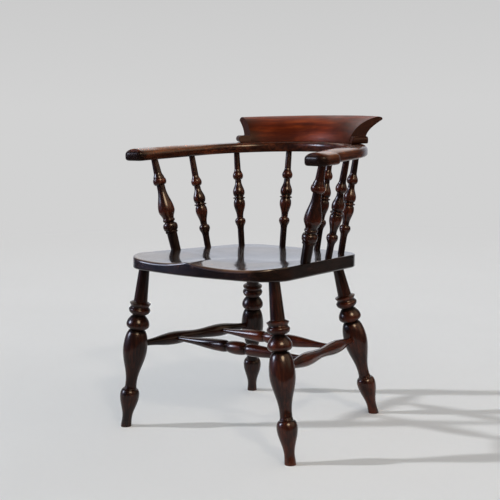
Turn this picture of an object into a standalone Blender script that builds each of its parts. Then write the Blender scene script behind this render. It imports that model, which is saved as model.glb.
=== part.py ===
"""A smoker's bow: a low-back Windsor armchair of turned, sawn and carved wood."""

import math

import bmesh
import bpy
from mathutils import Matrix, Vector

# All sizes are in metres and angles in degrees. The sitter faces -Y, and +Z is up.
# Until the last step, Y is measured from the line across the seat where its rim is SEAT_HEIGHT high.

# Clearance all round a glued joint, how far a cutter runs past a surface, and the size of the floor block
FIT = 0.0003
CUT_PAST = 0.03
FLOOR_SIZE = 1.0

# Seat plank: its rim slopes down towards the back, and its outline is widest at the front
SEAT_HEIGHT = 0.449
SEAT_SLOPE = 2.55
SEAT_THICKNESS = 0.034
SEAT_FRONT = 0.296
SEAT_FRONT_BOW = 0.034
SEAT_FRONT_BOW_RADIUS = 0.6
SEAT_FRONT_HALF_WIDTH = 0.2425
SEAT_FRONT_CORNER = 0.085
SEAT_BACK = 0.210
SEAT_BACK_HALF_WIDTH = 0.191
SEAT_BACK_CORNER = 0.078
SEAT_EDGE_ROUND = 0.004

# Saddle of the seat: two thigh hollows that run out at the front edge, and a bowl behind them
HOLLOW_SPACING = 0.118
HOLLOW_FORWARD = 0.290
HOLLOW_HALF_WIDTH = 0.108
HOLLOW_HALF_LENGTH = 0.210
HOLLOW_DEPTH = 0.0095
HOLLOW_TOE_OUT = 10.0
BOWL_FORWARD = 0.020
BOWL_HALF_WIDTH = 0.170
BOWL_HALF_LENGTH = 0.180
BOWL_DEPTH = 0.0065
SCOOP_FULLNESS = 4.0

# Legs: how far each head stands in from the seat's side and end, and how far its foot splays out
FRONT_LEG_INSET = 0.0327
FRONT_LEG_FROM_FRONT = 0.0832
FRONT_SPLAY_OUT = 0.0589
FRONT_SPLAY_FORWARD = 0.0241
BACK_LEG_INSET = 0.0566
BACK_LEG_FROM_BACK = 0.0496
BACK_SPLAY_OUT = 0.0665
BACK_SPLAY_BACKWARD = 0.0765

# Leg turning, from the floor up: length and radius of each member
FOOT_RADIUS = 0.0138
ANKLE_RISE = 0.022
ANKLE_RADIUS = 0.0127
BULB_RISE = 0.064
BULB_RADIUS = 0.0250
BULB_FALL = 0.0175
BULB_TOP_RADIUS = 0.0163
CALF_FALL = 0.0085
CALF_RADIUS = 0.0148
CALF_LENGTH = 0.008
VASE_RISE = 0.093
VASE_RADIUS = 0.0313
VASE_FALL = 0.051
GROOVE_RADIUS = 0.0150
BALL_RISE = 0.0125
BALL_RADIUS = 0.0298
BALL_FALL = 0.027
WAIST_RADIUS = 0.0142
RING_STEP = 0.0015
RING_FOOT_RADIUS = 0.0206
RING_RISE = 0.012
RING_RADIUS = 0.0277
RING_FALL = 0.008
COVE_RADIUS = 0.0228
FLANGE_RISE = 0.0075
FLANGE_RADIUS = 0.0268
FLANGE_EDGE = 0.0015
SHOULDER_RISE = 0.0045
TAPER_RADIUS = 0.0178
LEG_TENON_RADIUS = 0.0133
LEG_TENON_DEPTH = 0.022

# Arm posts, the two heavy spindles at the front: places in from the seat's edges and from the hand's
POST_SEAT_INSET = 0.0164
POST_SEAT_FROM_FRONT = 0.2091
POST_HAND_INSET = 0.0531
POST_HAND_FROM_FRONT = 0.0707

# Arm post turning, from the seat up
POST_SHANK_RADIUS = 0.0128
POST_SHANK_LENGTH = 0.046
POST_STEP_RISE = 0.0015
POST_STEP_RADIUS = 0.0163
POST_STEP_LENGTH = 0.0055
POST_RING_RISE = 0.011
POST_RING_RADIUS = 0.0197
POST_RING_FALL = 0.0095
POST_RING_TOP_RADIUS = 0.0140
POST_NECK_LENGTH = 0.003
POST_NECK_RADIUS = 0.0120
POST_COLLAR_RISE = 0.0045
POST_COLLAR_RADIUS = 0.0163
POST_COLLAR_FALL = 0.0035
POST_COLLAR_TOP_RADIUS = 0.0146
POST_VASE_RISE = 0.0235
POST_VASE_RADIUS = 0.0219
POST_VASE_FALL = 0.058
POST_THROAT_RADIUS = 0.0111
POST_THROAT_LENGTH = 0.010
POST_BALL_RISE = 0.0095
POST_BALL_RADIUS = 0.0179
POST_BALL_FALL = 0.0245
POST_TOP_RADIUS = 0.0106
POST_TENON_RADIUS = 0.0089

# Back spindles, three to a side: place in from the seat's edges, place round the bow and in from its
# middle line, and length of the plain foot below the ring
SIDE_SPINDLE_INSET = 0.0149
SIDE_SPINDLE_FROM_BACK = 0.1778
SIDE_SPINDLE_ANGLE = 84.5
SIDE_SPINDLE_BOW_INSET = 0.0
SIDE_SPINDLE_FOOT = 0.036
CORNER_SPINDLE_INSET = 0.0349
CORNER_SPINDLE_FROM_BACK = 0.0686
CORNER_SPINDLE_ANGLE = 51.5
CORNER_SPINDLE_BOW_INSET = 0.0
CORNER_SPINDLE_FOOT = 0.050
BACK_SPINDLE_INSET = 0.1362
BACK_SPINDLE_FROM_BACK = 0.0219
BACK_SPINDLE_ANGLE = 16.7
BACK_SPINDLE_BOW_INSET = 0.0094
BACK_SPINDLE_FOOT = 0.056

# Back spindle turning, from the foot's ring up
SPINDLE_FOOT_RADIUS = 0.0088
SPINDLE_RING_RISE = 0.017
SPINDLE_RING_RADIUS = 0.0149
SPINDLE_RING_FALL = 0.0095
SPINDLE_NECK_RADIUS = 0.0090
SPINDLE_NECK_LENGTH = 0.0045
LOWER_BULB_RISE = 0.035
LOWER_BULB_RADIUS = 0.0162
LOWER_BULB_FALL = 0.0115
LOWER_GROOVE_RADIUS = 0.0128
COLLAR_RISE = 0.005
COLLAR_RADIUS = 0.0166
COLLAR_FALL = 0.005
UPPER_GROOVE_RADIUS = 0.0122
UPPER_BULB_RISE = 0.0115
UPPER_BULB_RADIUS = 0.0165
UPPER_BULB_FALL = 0.029
THROAT_RADIUS = 0.0086
THROAT_LENGTH = 0.006
SPINDLE_BALL_RISE = 0.0105
SPINDLE_BALL_RADIUS = 0.0146
SPINDLE_BALL_FALL = 0.0185
SPINDLE_TOP_RADIUS = 0.0089
SPINDLE_TENON_RADIUS = 0.0082

# How deep posts and spindles go into the seat and into the bow
SEAT_SOCKET_DEPTH = 0.018
BOW_SOCKET_DEPTH = 0.018

# Side stretchers: height up each leg's axis, then the swells and the waist between them
STRETCHER_FRONT_RISE = 0.222
STRETCHER_BACK_RISE = 0.214
SIDE_TENON_INSET = 0.013
SIDE_TENON_RADIUS = 0.0082
SIDE_TENON_LENGTH = 0.020
SIDE_SWELL_INSET = 0.132
SIDE_SWELL_RADIUS = 0.0172
SIDE_WAIST_RADIUS = 0.0125

# Cross stretchers: they join the side stretchers at the swells, with a bead in the middle
CROSS_TENON_INSET = 0.005
CROSS_TENON_RADIUS = 0.0066
CROSS_TENON_LENGTH = 0.018
CROSS_CONE_RADIUS = 0.0160
CROSS_CONE_ROUND = 0.0165
CROSS_GROOVE_RADIUS = 0.0110
CROSS_BEAD_HALF_LENGTH = 0.0305
CROSS_BEAD_RADIUS = 0.0174

# Arm bow: two sawn arms that meet at the middle of the back, this high above the seat's rim
# and tilted a little down to the front
BOW_RISE = 0.2458
BOW_SLOPE = 1.6
BOW_THICKNESS = 0.0275
BOW_CENTRE_Y = 0.010
BOW_RADIUS = 0.2495
BOW_WIDTH = 0.055
BOW_EDGE_ROUND = 0.010
ARM_FLARE = 8.0

# Hand of the arm, measured from the bow's centre: notch, outer bulge and front
HAND_NOTCH_FORWARD = 0.098
HAND_NOTCH_ROUND = 0.010
HAND_BULGE_FORWARD = 0.109
HAND_BULGE_ROUND = 0.014
HAND_OUTER_X = 0.318
HAND_OUTER_ROUND = 0.024
HAND_FRONT = 0.180
HAND_INNER_X = 0.254
HAND_INNER_FORWARD = 0.174
HAND_INNER_ROUND = 0.016

# Crest: a plinth on the bow, set back from its middle line, with a scroll that rolls over backwards
CREST_SET_BACK = 0.0105
CREST_WIDTH = 0.044
CREST_PLINTH_HEIGHT = 0.0185
CREST_PLINTH_ANGLE = 50.0
CREST_PLINTH_ROUND = 0.008
CREST_HEIGHT = 0.068
CREST_OVERHANG = 0.042
CREST_TIP_THICKNESS = 0.010
CREST_SCROLL_ANGLE = 46.0
CREST_QUIRK = 0.0008
CREST_SINK = 0.004
CREST_LEAN_IN = 0.010
CREST_LEAN_OUT = 0.006

# Crest screws, driven up through the arms from below
SCREW_ANGLES = (7.5, 30.0)
SCREW_LENGTH = 0.046
SCREW_SHANK_RADIUS = 0.0024
SCREW_HEAD_RADIUS = 0.0048
SCREW_HEAD_HEIGHT = 0.0035
SCREW_POINT_LENGTH = 0.005
SCREW_SUNK = 0.0005

# Facets: sides of the turned pieces, points along each curved stretch, and steps round an edge
LEG_SIDES = 12
POST_SIDES = 12
SPINDLE_SIDES = 8
STRETCHER_SIDES = 10
SCREW_SIDES = 8
TINY_CURVE_STEPS = 2
SHORT_CURVE_STEPS = 3
MIDDLE_CURVE_STEPS = 4
FULL_CURVE_STEPS = 5
LONG_CURVE_STEPS = 6
ARC_STEP = 11.0
CREST_STEPS = 16
SCOOP_SEGMENTS = 24
SCOOP_RINGS = 16
SEAT_EDGE_STEPS = 1
BOW_EDGE_STEPS = 2
PLINTH_EDGE_STEPS = 3

# Points nearer than this are one point, faces flatter than this are one face, and steeper edges stay sharp
SAME_POINT = 0.00001
SAME_FACE_ANGLE = 0.5
SMOOTH_ANGLE = 35.0

# Finish: a dark red-brown polish over elm and beech, and bright steel
SEAT_COLOR = (0.030, 0.011, 0.006)
TURNED_COLOR = (0.026, 0.008, 0.005)
BOW_COLOR = (0.045, 0.014, 0.007)
CREST_COLOR = (0.070, 0.017, 0.007)
STEEL_COLOR = (0.55, 0.55, 0.55)
POLISH_ROUGHNESS = 0.2
STEEL_ROUGHNESS = 0.35


# Helpers for scenes, materials and places


def clear_scene():
    for obj in list(bpy.data.objects):
        bpy.data.objects.remove(obj, do_unlink=True)


def new_collection(name):
    collection = bpy.data.collections.new(name)
    bpy.context.scene.collection.children.link(collection)
    return collection


def finish(name, color, roughness, metallic=0.0):
    material = bpy.data.materials.new(name)
    material.use_nodes = True
    shader = material.node_tree.nodes["Principled BSDF"]
    shader.inputs["Base Color"].default_value = (*color, 1.0)
    shader.inputs["Roughness"].default_value = roughness
    shader.inputs["Metallic"].default_value = metallic
    return material


def along(start, end):
    """A frame at start whose +Z points at end."""
    turn = (end - start).to_track_quat("Z", "Y")
    return Matrix.LocRotScale(start, turn, None)


def on_seat(x, y, below=0.0):
    """The point of the sloping seat, this far below its rim."""
    return Vector((x, y, SEAT_HEIGHT - below - y * math.tan(math.radians(SEAT_SLOPE))))


def seat_half_width(y):
    """Half the seat's width here, as far as the straight sides go."""
    front = SEAT_FRONT_BOW - SEAT_FRONT
    share = (y - front) / (SEAT_BACK - front)
    return SEAT_FRONT_HALF_WIDTH + (SEAT_BACK_HALF_WIDTH - SEAT_FRONT_HALF_WIDTH) * share


def seat_place(side, inset, y, below=0.0):
    """The point of the seat this far in from its left (-1) or right (1) side."""
    return on_seat(side * (seat_half_width(y) - inset), y, below)


def foot_under(head, outward, backward):
    """The point on the floor where a leg that splays by this much from its head ends."""
    return Vector((head.x + outward, head.y + backward, 0))


def on_bow(x, y):
    """The point of the sloping underside of the arm bow."""
    return Vector((x, y, SEAT_HEIGHT + BOW_RISE + y * math.tan(math.radians(BOW_SLOPE))))


def round_bow(angle, inset):
    """The point under the bow at this angle from the middle of the back, in from the middle line."""
    reach = BOW_RADIUS - inset
    turn = math.radians(angle)
    return on_bow(reach * math.sin(turn), BOW_CENTRE_Y + reach * math.cos(turn))


def round_corners(corners):
    """Outline through (x, y, radius) corners, each rounded by an arc unless its radius is 0."""
    outline = []
    for i, (x, y, radius) in enumerate(corners):
        corner = Vector((x, y))
        if not radius:
            outline.append(corner)
            continue
        back = (Vector(corners[i - 1][:2]) - corner).normalized()
        ahead = (Vector(corners[(i + 1) % len(corners)][:2]) - corner).normalized()
        half = back.angle(ahead) / 2
        centre = corner + (back + ahead).normalized() * radius / math.sin(half)
        first = corner + back * radius / math.tan(half) - centre
        last = corner + ahead * radius / math.tan(half) - centre
        sweep = -first.angle_signed(last)
        steps = max(2, round(math.degrees(abs(sweep)) / ARC_STEP))
        for step in range(steps + 1):
            outline.append(centre + Matrix.Rotation(sweep * step / steps, 2) @ first)
    return outline


def add_object(name, mesh, frame, collection, material=None):
    obj = bpy.data.objects.new(name, mesh)
    collection.objects.link(obj)
    obj.parent = root
    obj.matrix_local = frame
    if material:
        mesh.materials.clear()
        mesh.materials.append(material)
    else:
        obj.hide_render = True
        obj.display_type = "WIRE"
    return obj


def cut(obj, cutter, operation="DIFFERENCE"):
    modifier = obj.modifiers.new(cutter.name, "BOOLEAN")
    modifier.operation = operation
    modifier.object = cutter


def smooth(mesh):
    mesh.shade_smooth()
    mesh.set_sharp_from_angle(angle=math.radians(SMOOTH_ANGLE))


# Helpers for turned pieces: a profile is a list of (height, radius) points, bottom to top


def straight(profile, length, radius):
    profile.append((profile[-1][0] + length, radius))


def ease(profile, length, radius, points=LONG_CURVE_STEPS):
    """An S-shaped stretch, level at both ends."""
    height, start = profile[-1]
    for i in range(1, points + 1):
        share = (1 - math.cos(math.pi * i / points)) / 2
        profile.append((height + length * i / points, start + (radius - start) * share))


def bulge(profile, length, radius, points=SHORT_CURVE_STEPS):
    """A quarter of an ellipse, level at its fuller end."""
    height, start = profile[-1]
    for i in range(1, points + 1):
        turn = math.pi / 2 * i / points
        up = (1 - math.cos(turn), math.sin(turn))
        down = (math.sin(turn), 1 - math.cos(turn))
        rise, spread = up if radius > start else down
        profile.append((height + length * rise, start + (radius - start) * spread))


def bell(profile, length, radius, points=SHORT_CURVE_STEPS):
    """A stretch that is level at its start and slopes ever more, like a bell's shoulder."""
    height, start = profile[-1]
    for i in range(1, points + 1):
        share = i / points
        profile.append((height + length * share, start + (radius - start) * share**2))


def turn_piece(name, profile, sides, frame, collection, material=None):
    closed = [(profile[0][0], 0.0), *profile, (profile[-1][0], 0.0)]
    points = [(radius, 0.0, height) for height, radius in reversed(closed)]
    mesh = bpy.data.meshes.new(name)
    mesh.from_pydata(points, [(i, i + 1) for i in range(len(points) - 1)], [])
    obj = add_object(name, mesh, frame, collection, material)
    screw = obj.modifiers.new("lathe", "SCREW")
    screw.steps = sides
    screw.render_steps = sides
    screw.use_merge_vertices = True
    screw.merge_threshold = SAME_POINT
    screw.use_smooth_shade = True
    return obj


def bore(obj, name, radius, start, end, frame, sides):
    """A round socket along the frame's Z."""
    profile = [(start, radius + FIT), (end, radius + FIT)]
    cut(obj, turn_piece(name, profile, sides, frame, cutters))


# Helpers for sawn pieces


def sawn_mesh(name, outline, thickness):
    """A board of this outline whose underside is at z = 0."""
    curve = bpy.data.curves.new(name, "CURVE")
    curve.dimensions = "2D"
    curve.fill_mode = "BOTH"
    curve.extrude = thickness / 2
    spline = curve.splines.new("POLY")
    spline.points.add(len(outline) - 1)
    for point, place in zip(spline.points, outline):
        point.co = (place[0], place[1], 0.0, 1.0)
    spline.use_cyclic_u = True
    holder = bpy.data.objects.new(name, curve)
    bpy.context.scene.collection.objects.link(holder)
    bpy.context.view_layer.update()
    mesh = bpy.data.meshes.new_from_object(holder.evaluated_get(bpy.context.evaluated_depsgraph_get()))
    bpy.data.objects.remove(holder, do_unlink=True)
    board = bmesh.new()
    board.from_mesh(mesh)
    bmesh.ops.remove_doubles(board, verts=board.verts, dist=SAME_POINT)
    flat = math.radians(SAME_FACE_ANGLE)
    bmesh.ops.dissolve_limit(board, angle_limit=flat, verts=board.verts, edges=board.edges)
    bmesh.ops.translate(board, verts=board.verts, vec=(0, 0, thickness / 2))
    bmesh.ops.recalc_face_normals(board, faces=board.faces)
    board.to_mesh(mesh)
    board.free()
    return mesh


def round_rims(mesh, radius, segments, keep_sharp):
    """Rounds the edges round the top and the underside, but not those that keep_sharp picks."""
    board = bmesh.new()
    board.from_mesh(mesh)
    flat = [face for face in board.faces if abs(face.normal.z) > 0.9]
    rims = {edge for face in flat for edge in face.edges}
    rims = [edge for edge in board.edges if edge in rims and not keep_sharp(edge)]
    bmesh.ops.bevel(board, geom=rims, offset=radius, segments=segments, profile=0.5, affect="EDGES")
    board.to_mesh(mesh)
    board.free()


def swept_mesh(name, section, half_angle):
    """A (radius, height) section swept about Z, as far to the left as to the right of +Y."""
    mesh = bpy.data.meshes.new(name)
    sweep = bmesh.new()
    face = sweep.faces.new([sweep.verts.new((0.0, radius, height)) for radius, height in section])
    bmesh.ops.rotate(sweep, verts=sweep.verts, matrix=Matrix.Rotation(-half_angle, 3, "Z"))
    bmesh.ops.spin(
        sweep,
        geom=[face, *face.edges, *face.verts],
        axis=(0, 0, 1),
        cent=(0, 0, 0),
        angle=2 * half_angle,
        steps=CREST_STEPS,
    )
    bmesh.ops.recalc_face_normals(sweep, faces=sweep.faces)
    sweep.to_mesh(mesh)
    sweep.free()
    return mesh


# Seat


def make_seat():
    corners = [
        (-SEAT_FRONT_HALF_WIDTH, SEAT_FRONT_BOW - SEAT_FRONT, SEAT_FRONT_CORNER),
        (0.0, -SEAT_FRONT, SEAT_FRONT_BOW_RADIUS),
        (SEAT_FRONT_HALF_WIDTH, SEAT_FRONT_BOW - SEAT_FRONT, SEAT_FRONT_CORNER),
        (SEAT_BACK_HALF_WIDTH, SEAT_BACK, SEAT_BACK_CORNER),
        (-SEAT_BACK_HALF_WIDTH, SEAT_BACK, SEAT_BACK_CORNER),
    ]
    mesh = sawn_mesh("seat", round_corners(corners), SEAT_THICKNESS)
    round_rims(mesh, SEAT_EDGE_ROUND, SEAT_EDGE_STEPS, lambda edge: False)
    smooth(mesh)
    wood = finish("polished_seat", SEAT_COLOR, POLISH_ROUGHNESS)
    seat = add_object("seat", mesh, seat_frame, parts, wood)
    bowl = Matrix.Translation((0.0, -BOWL_FORWARD, SEAT_THICKNESS))
    cut(seat, make_scoop("seat_bowl", bowl, BOWL_HALF_WIDTH, BOWL_HALF_LENGTH, BOWL_DEPTH))
    for name, side in (("left", -1), ("right", 1)):
        place = Matrix.Translation((side * HOLLOW_SPACING, -HOLLOW_FORWARD, SEAT_THICKNESS))
        place = place @ Matrix.Rotation(side * math.radians(HOLLOW_TOE_OUT), 4, "Z")
        hollow = "seat_hollow_" + name
        cut(seat, make_scoop(hollow, place, HOLLOW_HALF_WIDTH, HOLLOW_HALF_LENGTH, HOLLOW_DEPTH))
    return seat


def make_scoop(name, place, half_width, half_length, depth):
    """A flat ellipsoid that hollows the seat this deep over this half width and half length."""
    tall = SCOOP_FULLNESS * depth
    spread = math.sqrt(1 - ((tall - depth) / tall) ** 2)
    mesh = bpy.data.meshes.new(name)
    ball = bmesh.new()
    bmesh.ops.create_uvsphere(ball, u_segments=SCOOP_SEGMENTS, v_segments=SCOOP_RINGS, radius=1.0)
    bmesh.ops.scale(ball, verts=ball.verts, vec=(half_width / spread, half_length / spread, tall))
    ball.to_mesh(mesh)
    ball.free()
    raised = Matrix.Translation((0, 0, tall - depth))
    return add_object(name, mesh, seat_frame @ place @ raised, cutters)


# Legs


def leg_profile(length):
    """The leg's turning from just under the floor to the top of its tenon in the seat."""
    profile = [(-FOOT_RADIUS, FOOT_RADIUS), (0.0, FOOT_RADIUS)]
    ease(profile, ANKLE_RISE, ANKLE_RADIUS, TINY_CURVE_STEPS)
    ease(profile, BULB_RISE, BULB_RADIUS)
    bulge(profile, BULB_FALL, BULB_TOP_RADIUS)
    ease(profile, CALF_FALL, CALF_RADIUS, TINY_CURVE_STEPS)
    straight(profile, CALF_LENGTH, CALF_RADIUS)
    ease(profile, VASE_RISE, VASE_RADIUS)
    bulge(profile, VASE_FALL, GROOVE_RADIUS, FULL_CURVE_STEPS)
    bulge(profile, BALL_RISE, BALL_RADIUS)
    bell(profile, BALL_FALL, WAIST_RADIUS)
    straight(profile, RING_STEP, RING_FOOT_RADIUS)
    bulge(profile, RING_RISE, RING_RADIUS)
    ease(profile, RING_FALL, COVE_RADIUS, TINY_CURVE_STEPS)
    straight(profile, FLANGE_RISE, FLANGE_RADIUS)
    straight(profile, FLANGE_EDGE, FLANGE_RADIUS)
    straight(profile, SHOULDER_RISE, TAPER_RADIUS)
    straight(profile, length - profile[-1][0], LEG_TENON_RADIUS)
    straight(profile, LEG_TENON_DEPTH, LEG_TENON_RADIUS)
    return profile


def make_leg(name, foot, head, seat, floor, material):
    frame = along(foot, head)
    length = (head - foot).length
    leg = turn_piece(name, leg_profile(length), LEG_SIDES, frame, parts, material)
    cut(leg, floor)
    socket_end = length + LEG_TENON_DEPTH + FIT
    bore(seat, name + "_socket", LEG_TENON_RADIUS, length - CUT_PAST, socket_end, frame, LEG_SIDES)
    return leg


def make_floor_cutter():
    """A block below the floor that levels the feet."""
    mesh = bpy.data.meshes.new("floor")
    block = bmesh.new()
    bmesh.ops.create_cube(block, size=FLOOR_SIZE, matrix=Matrix.Translation((0, 0, -FLOOR_SIZE / 2)))
    block.to_mesh(mesh)
    block.free()
    return add_object("floor", mesh, Matrix(), cutters)


# Stretchers


def side_stretcher_profile(length):
    half = [(SIDE_TENON_INSET, SIDE_TENON_RADIUS)]
    straight(half, SIDE_TENON_LENGTH, SIDE_TENON_RADIUS)
    ease(half, SIDE_SWELL_INSET - half[-1][0], SIDE_SWELL_RADIUS)
    ease(half, length / 2 - SIDE_SWELL_INSET, SIDE_WAIST_RADIUS, MIDDLE_CURVE_STEPS)
    return half + [(length - height, radius) for height, radius in reversed(half[:-1])]


def cross_stretcher_profile(length):
    half = [(CROSS_TENON_INSET, CROSS_TENON_RADIUS)]
    straight(half, CROSS_TENON_LENGTH, CROSS_TENON_RADIUS)
    cone = length / 2 - CROSS_BEAD_HALF_LENGTH - CROSS_CONE_ROUND - half[-1][0]
    ease(half, cone, CROSS_CONE_RADIUS, MIDDLE_CURVE_STEPS)
    bulge(half, CROSS_CONE_ROUND, CROSS_GROOVE_RADIUS, SHORT_CURVE_STEPS)
    bulge(half, CROSS_BEAD_HALF_LENGTH, CROSS_BEAD_RADIUS, MIDDLE_CURVE_STEPS)
    return half + [(length - height, radius) for height, radius in reversed(half[:-1])]


def make_stretcher(name, profile, start, end, hosts, material):
    """A stretcher between two hosts, with a socket for its tenon in each."""
    frame = along(start, end)
    stretcher = turn_piece(name, profile, STRETCHER_SIDES, frame, parts, material)
    first, last = profile[0], profile[-1]
    bore(hosts[0], name + "_socket_0", first[1], first[0] - FIT, first[0] + CUT_PAST, frame, STRETCHER_SIDES)
    bore(hosts[1], name + "_socket_1", last[1], last[0] - CUT_PAST, last[0] + FIT, frame, STRETCHER_SIDES)
    return stretcher


# Posts and spindles


def post_profile(length):
    profile = [(-SEAT_SOCKET_DEPTH, POST_SHANK_RADIUS)]
    straight(profile, SEAT_SOCKET_DEPTH + POST_SHANK_LENGTH, POST_SHANK_RADIUS)
    straight(profile, POST_STEP_RISE, POST_STEP_RADIUS)
    straight(profile, POST_STEP_LENGTH, POST_STEP_RADIUS)
    bulge(profile, POST_RING_RISE, POST_RING_RADIUS)
    bulge(profile, POST_RING_FALL, POST_RING_TOP_RADIUS)
    straight(profile, POST_NECK_LENGTH, POST_NECK_RADIUS)
    bulge(profile, POST_COLLAR_RISE, POST_COLLAR_RADIUS, TINY_CURVE_STEPS)
    bulge(profile, POST_COLLAR_FALL, POST_COLLAR_TOP_RADIUS, TINY_CURVE_STEPS)
    ease(profile, POST_VASE_RISE, POST_VASE_RADIUS, FULL_CURVE_STEPS)
    ease(profile, POST_VASE_FALL, POST_THROAT_RADIUS)
    straight(profile, POST_THROAT_LENGTH, POST_THROAT_RADIUS)
    bulge(profile, POST_BALL_RISE, POST_BALL_RADIUS)
    ease(profile, POST_BALL_FALL, POST_TOP_RADIUS, MIDDLE_CURVE_STEPS)
    straight(profile, length - profile[-1][0], POST_TENON_RADIUS)
    straight(profile, BOW_SOCKET_DEPTH, POST_TENON_RADIUS)
    return profile


def spindle_profile(length, foot):
    profile = [(-SEAT_SOCKET_DEPTH, SPINDLE_FOOT_RADIUS)]
    straight(profile, SEAT_SOCKET_DEPTH + foot, SPINDLE_FOOT_RADIUS)
    ease(profile, SPINDLE_RING_RISE, SPINDLE_RING_RADIUS, MIDDLE_CURVE_STEPS)
    bulge(profile, SPINDLE_RING_FALL, SPINDLE_NECK_RADIUS, TINY_CURVE_STEPS)
    straight(profile, SPINDLE_NECK_LENGTH, SPINDLE_NECK_RADIUS)
    ease(profile, LOWER_BULB_RISE, LOWER_BULB_RADIUS, FULL_CURVE_STEPS)
    bulge(profile, LOWER_BULB_FALL, LOWER_GROOVE_RADIUS, TINY_CURVE_STEPS)
    bulge(profile, COLLAR_RISE, COLLAR_RADIUS, TINY_CURVE_STEPS)
    bulge(profile, COLLAR_FALL, UPPER_GROOVE_RADIUS, TINY_CURVE_STEPS)
    bulge(profile, UPPER_BULB_RISE, UPPER_BULB_RADIUS, TINY_CURVE_STEPS)
    ease(profile, UPPER_BULB_FALL, THROAT_RADIUS, FULL_CURVE_STEPS)
    straight(profile, THROAT_LENGTH, THROAT_RADIUS)
    bulge(profile, SPINDLE_BALL_RISE, SPINDLE_BALL_RADIUS, SHORT_CURVE_STEPS)
    ease(profile, SPINDLE_BALL_FALL, SPINDLE_TOP_RADIUS, MIDDLE_CURVE_STEPS)
    straight(profile, length - profile[-1][0], SPINDLE_TENON_RADIUS)
    straight(profile, BOW_SOCKET_DEPTH, SPINDLE_TENON_RADIUS)
    return profile


def make_upright(name, profile, sides, frame, seat, arm, material):
    """A turned piece that stands in the seat and carries the arm."""
    turn_piece(name, profile, sides, frame, parts, material)
    first, last = profile[0], profile[-1]
    bore(seat, name + "_foot_socket", first[1], first[0] - FIT, first[0] + CUT_PAST, frame, sides)
    bore(arm, name + "_head_socket", last[1], last[0] - CUT_PAST, last[0] + FIT, frame, sides)


# Arms


def arm_outline(side):
    """Plan of one arm about the bow's centre: round the back, out to the hand and back inside."""
    outer = BOW_RADIUS + BOW_WIDTH / 2
    inner = BOW_RADIUS - BOW_WIDTH / 2
    sweep = math.radians(90.0 - ARM_FLARE)
    steps = round(math.degrees(sweep) / ARC_STEP)
    turns = [sweep * step / steps for step in range(1, steps + 1)]
    lean = math.tan(math.radians(ARM_FLARE))

    def forward(radius, distance):
        return radius * math.sin(sweep) + (distance + radius * math.cos(sweep)) * lean

    notch = (forward(outer, HAND_NOTCH_FORWARD), -HAND_NOTCH_FORWARD, HAND_NOTCH_ROUND)
    bulge_corner = (HAND_OUTER_X, -HAND_BULGE_FORWARD, HAND_BULGE_ROUND)
    front_corner = (HAND_OUTER_X, -HAND_FRONT, HAND_OUTER_ROUND)
    inner_corner = (HAND_INNER_X, -HAND_INNER_FORWARD, HAND_INNER_ROUND)
    before = (outer * math.sin(sweep), outer * math.cos(sweep), 0.0)
    after = (inner * math.sin(sweep), inner * math.cos(sweep), 0.0)
    hand = round_corners([before, notch, bulge_corner, front_corner, inner_corner, after])
    hand = [point for point in hand if point.y < 0]
    butt = [(FIT / 2, inner), (FIT / 2, outer)]
    back = [(outer * math.sin(turn), outer * math.cos(turn)) for turn in turns]
    inside = [(inner * math.sin(turn), inner * math.cos(turn)) for turn in reversed(turns)]
    outline = [*butt, *back, *[tuple(point) for point in hand], *inside]
    return [(side * x, y) for x, y in outline]


def at_butt(edge):
    """True for an edge of the face where the two arms meet."""
    return all(abs(vert.co.x) < FIT for vert in edge.verts)


def make_arm(name, side, material):
    mesh = sawn_mesh(name, arm_outline(side), BOW_THICKNESS)
    round_rims(mesh, BOW_EDGE_ROUND, BOW_EDGE_STEPS, at_butt)
    smooth(mesh)
    return add_object(name, mesh, bow_frame, parts, material)


# Crest


def scroll_section():
    """The scroll's section: a hollow front that rolls back to a round tip."""
    front = Vector((crest_inner + CREST_QUIRK, CREST_PLINTH_HEIGHT))
    rear = Vector((crest_outer - CREST_QUIRK, CREST_PLINTH_HEIGHT))
    tip = Vector((crest_outer + CREST_OVERHANG, CREST_HEIGHT - CREST_TIP_THICKNESS / 2))
    over = Vector((tip.x - CREST_TIP_THICKNESS, CREST_HEIGHT))
    under = Vector((tip.x - CREST_TIP_THICKNESS / 2, tip.y - CREST_TIP_THICKNESS / 2))
    pull_front = Vector((front.x + CREST_LEAN_IN, over.y - CREST_LEAN_IN))
    pull_rear = Vector((rear.x + CREST_LEAN_OUT, (rear.y + under.y) / 2 - CREST_LEAN_OUT))
    sunk_front = front - Vector((0.0, CREST_SINK))
    sunk_rear = rear - Vector((0.0, CREST_SINK))
    section = [sunk_front]
    section += [bezier(front, pull_front, over, i / LONG_CURVE_STEPS) for i in range(LONG_CURVE_STEPS + 1)]
    section += [tip]
    section += [bezier(under, pull_rear, rear, i / LONG_CURVE_STEPS) for i in range(LONG_CURVE_STEPS + 1)]
    section += [sunk_rear]
    return section


def bezier(start, pull, end, share):
    return start * (1 - share) ** 2 + pull * 2 * share * (1 - share) + end * share**2


def make_crest():
    section = [
        (crest_inner, FIT),
        (crest_outer, FIT),
        (crest_outer, CREST_PLINTH_HEIGHT),
        (crest_inner, CREST_PLINTH_HEIGHT),
    ]
    mesh = swept_mesh("crest", section, math.radians(CREST_PLINTH_ANGLE))
    round_plinth_ends(mesh)
    frame = bow_frame @ Matrix.Translation((0, 0, BOW_THICKNESS))
    wood = finish("polished_crest", CREST_COLOR, POLISH_ROUGHNESS)
    crest = add_object("crest", mesh, frame, parts, wood)
    scroll = swept_mesh("crest_scroll", scroll_section(), math.radians(CREST_SCROLL_ANGLE))
    cut(crest, add_object("crest_scroll", scroll, frame, cutters), "UNION")
    return crest


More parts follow.
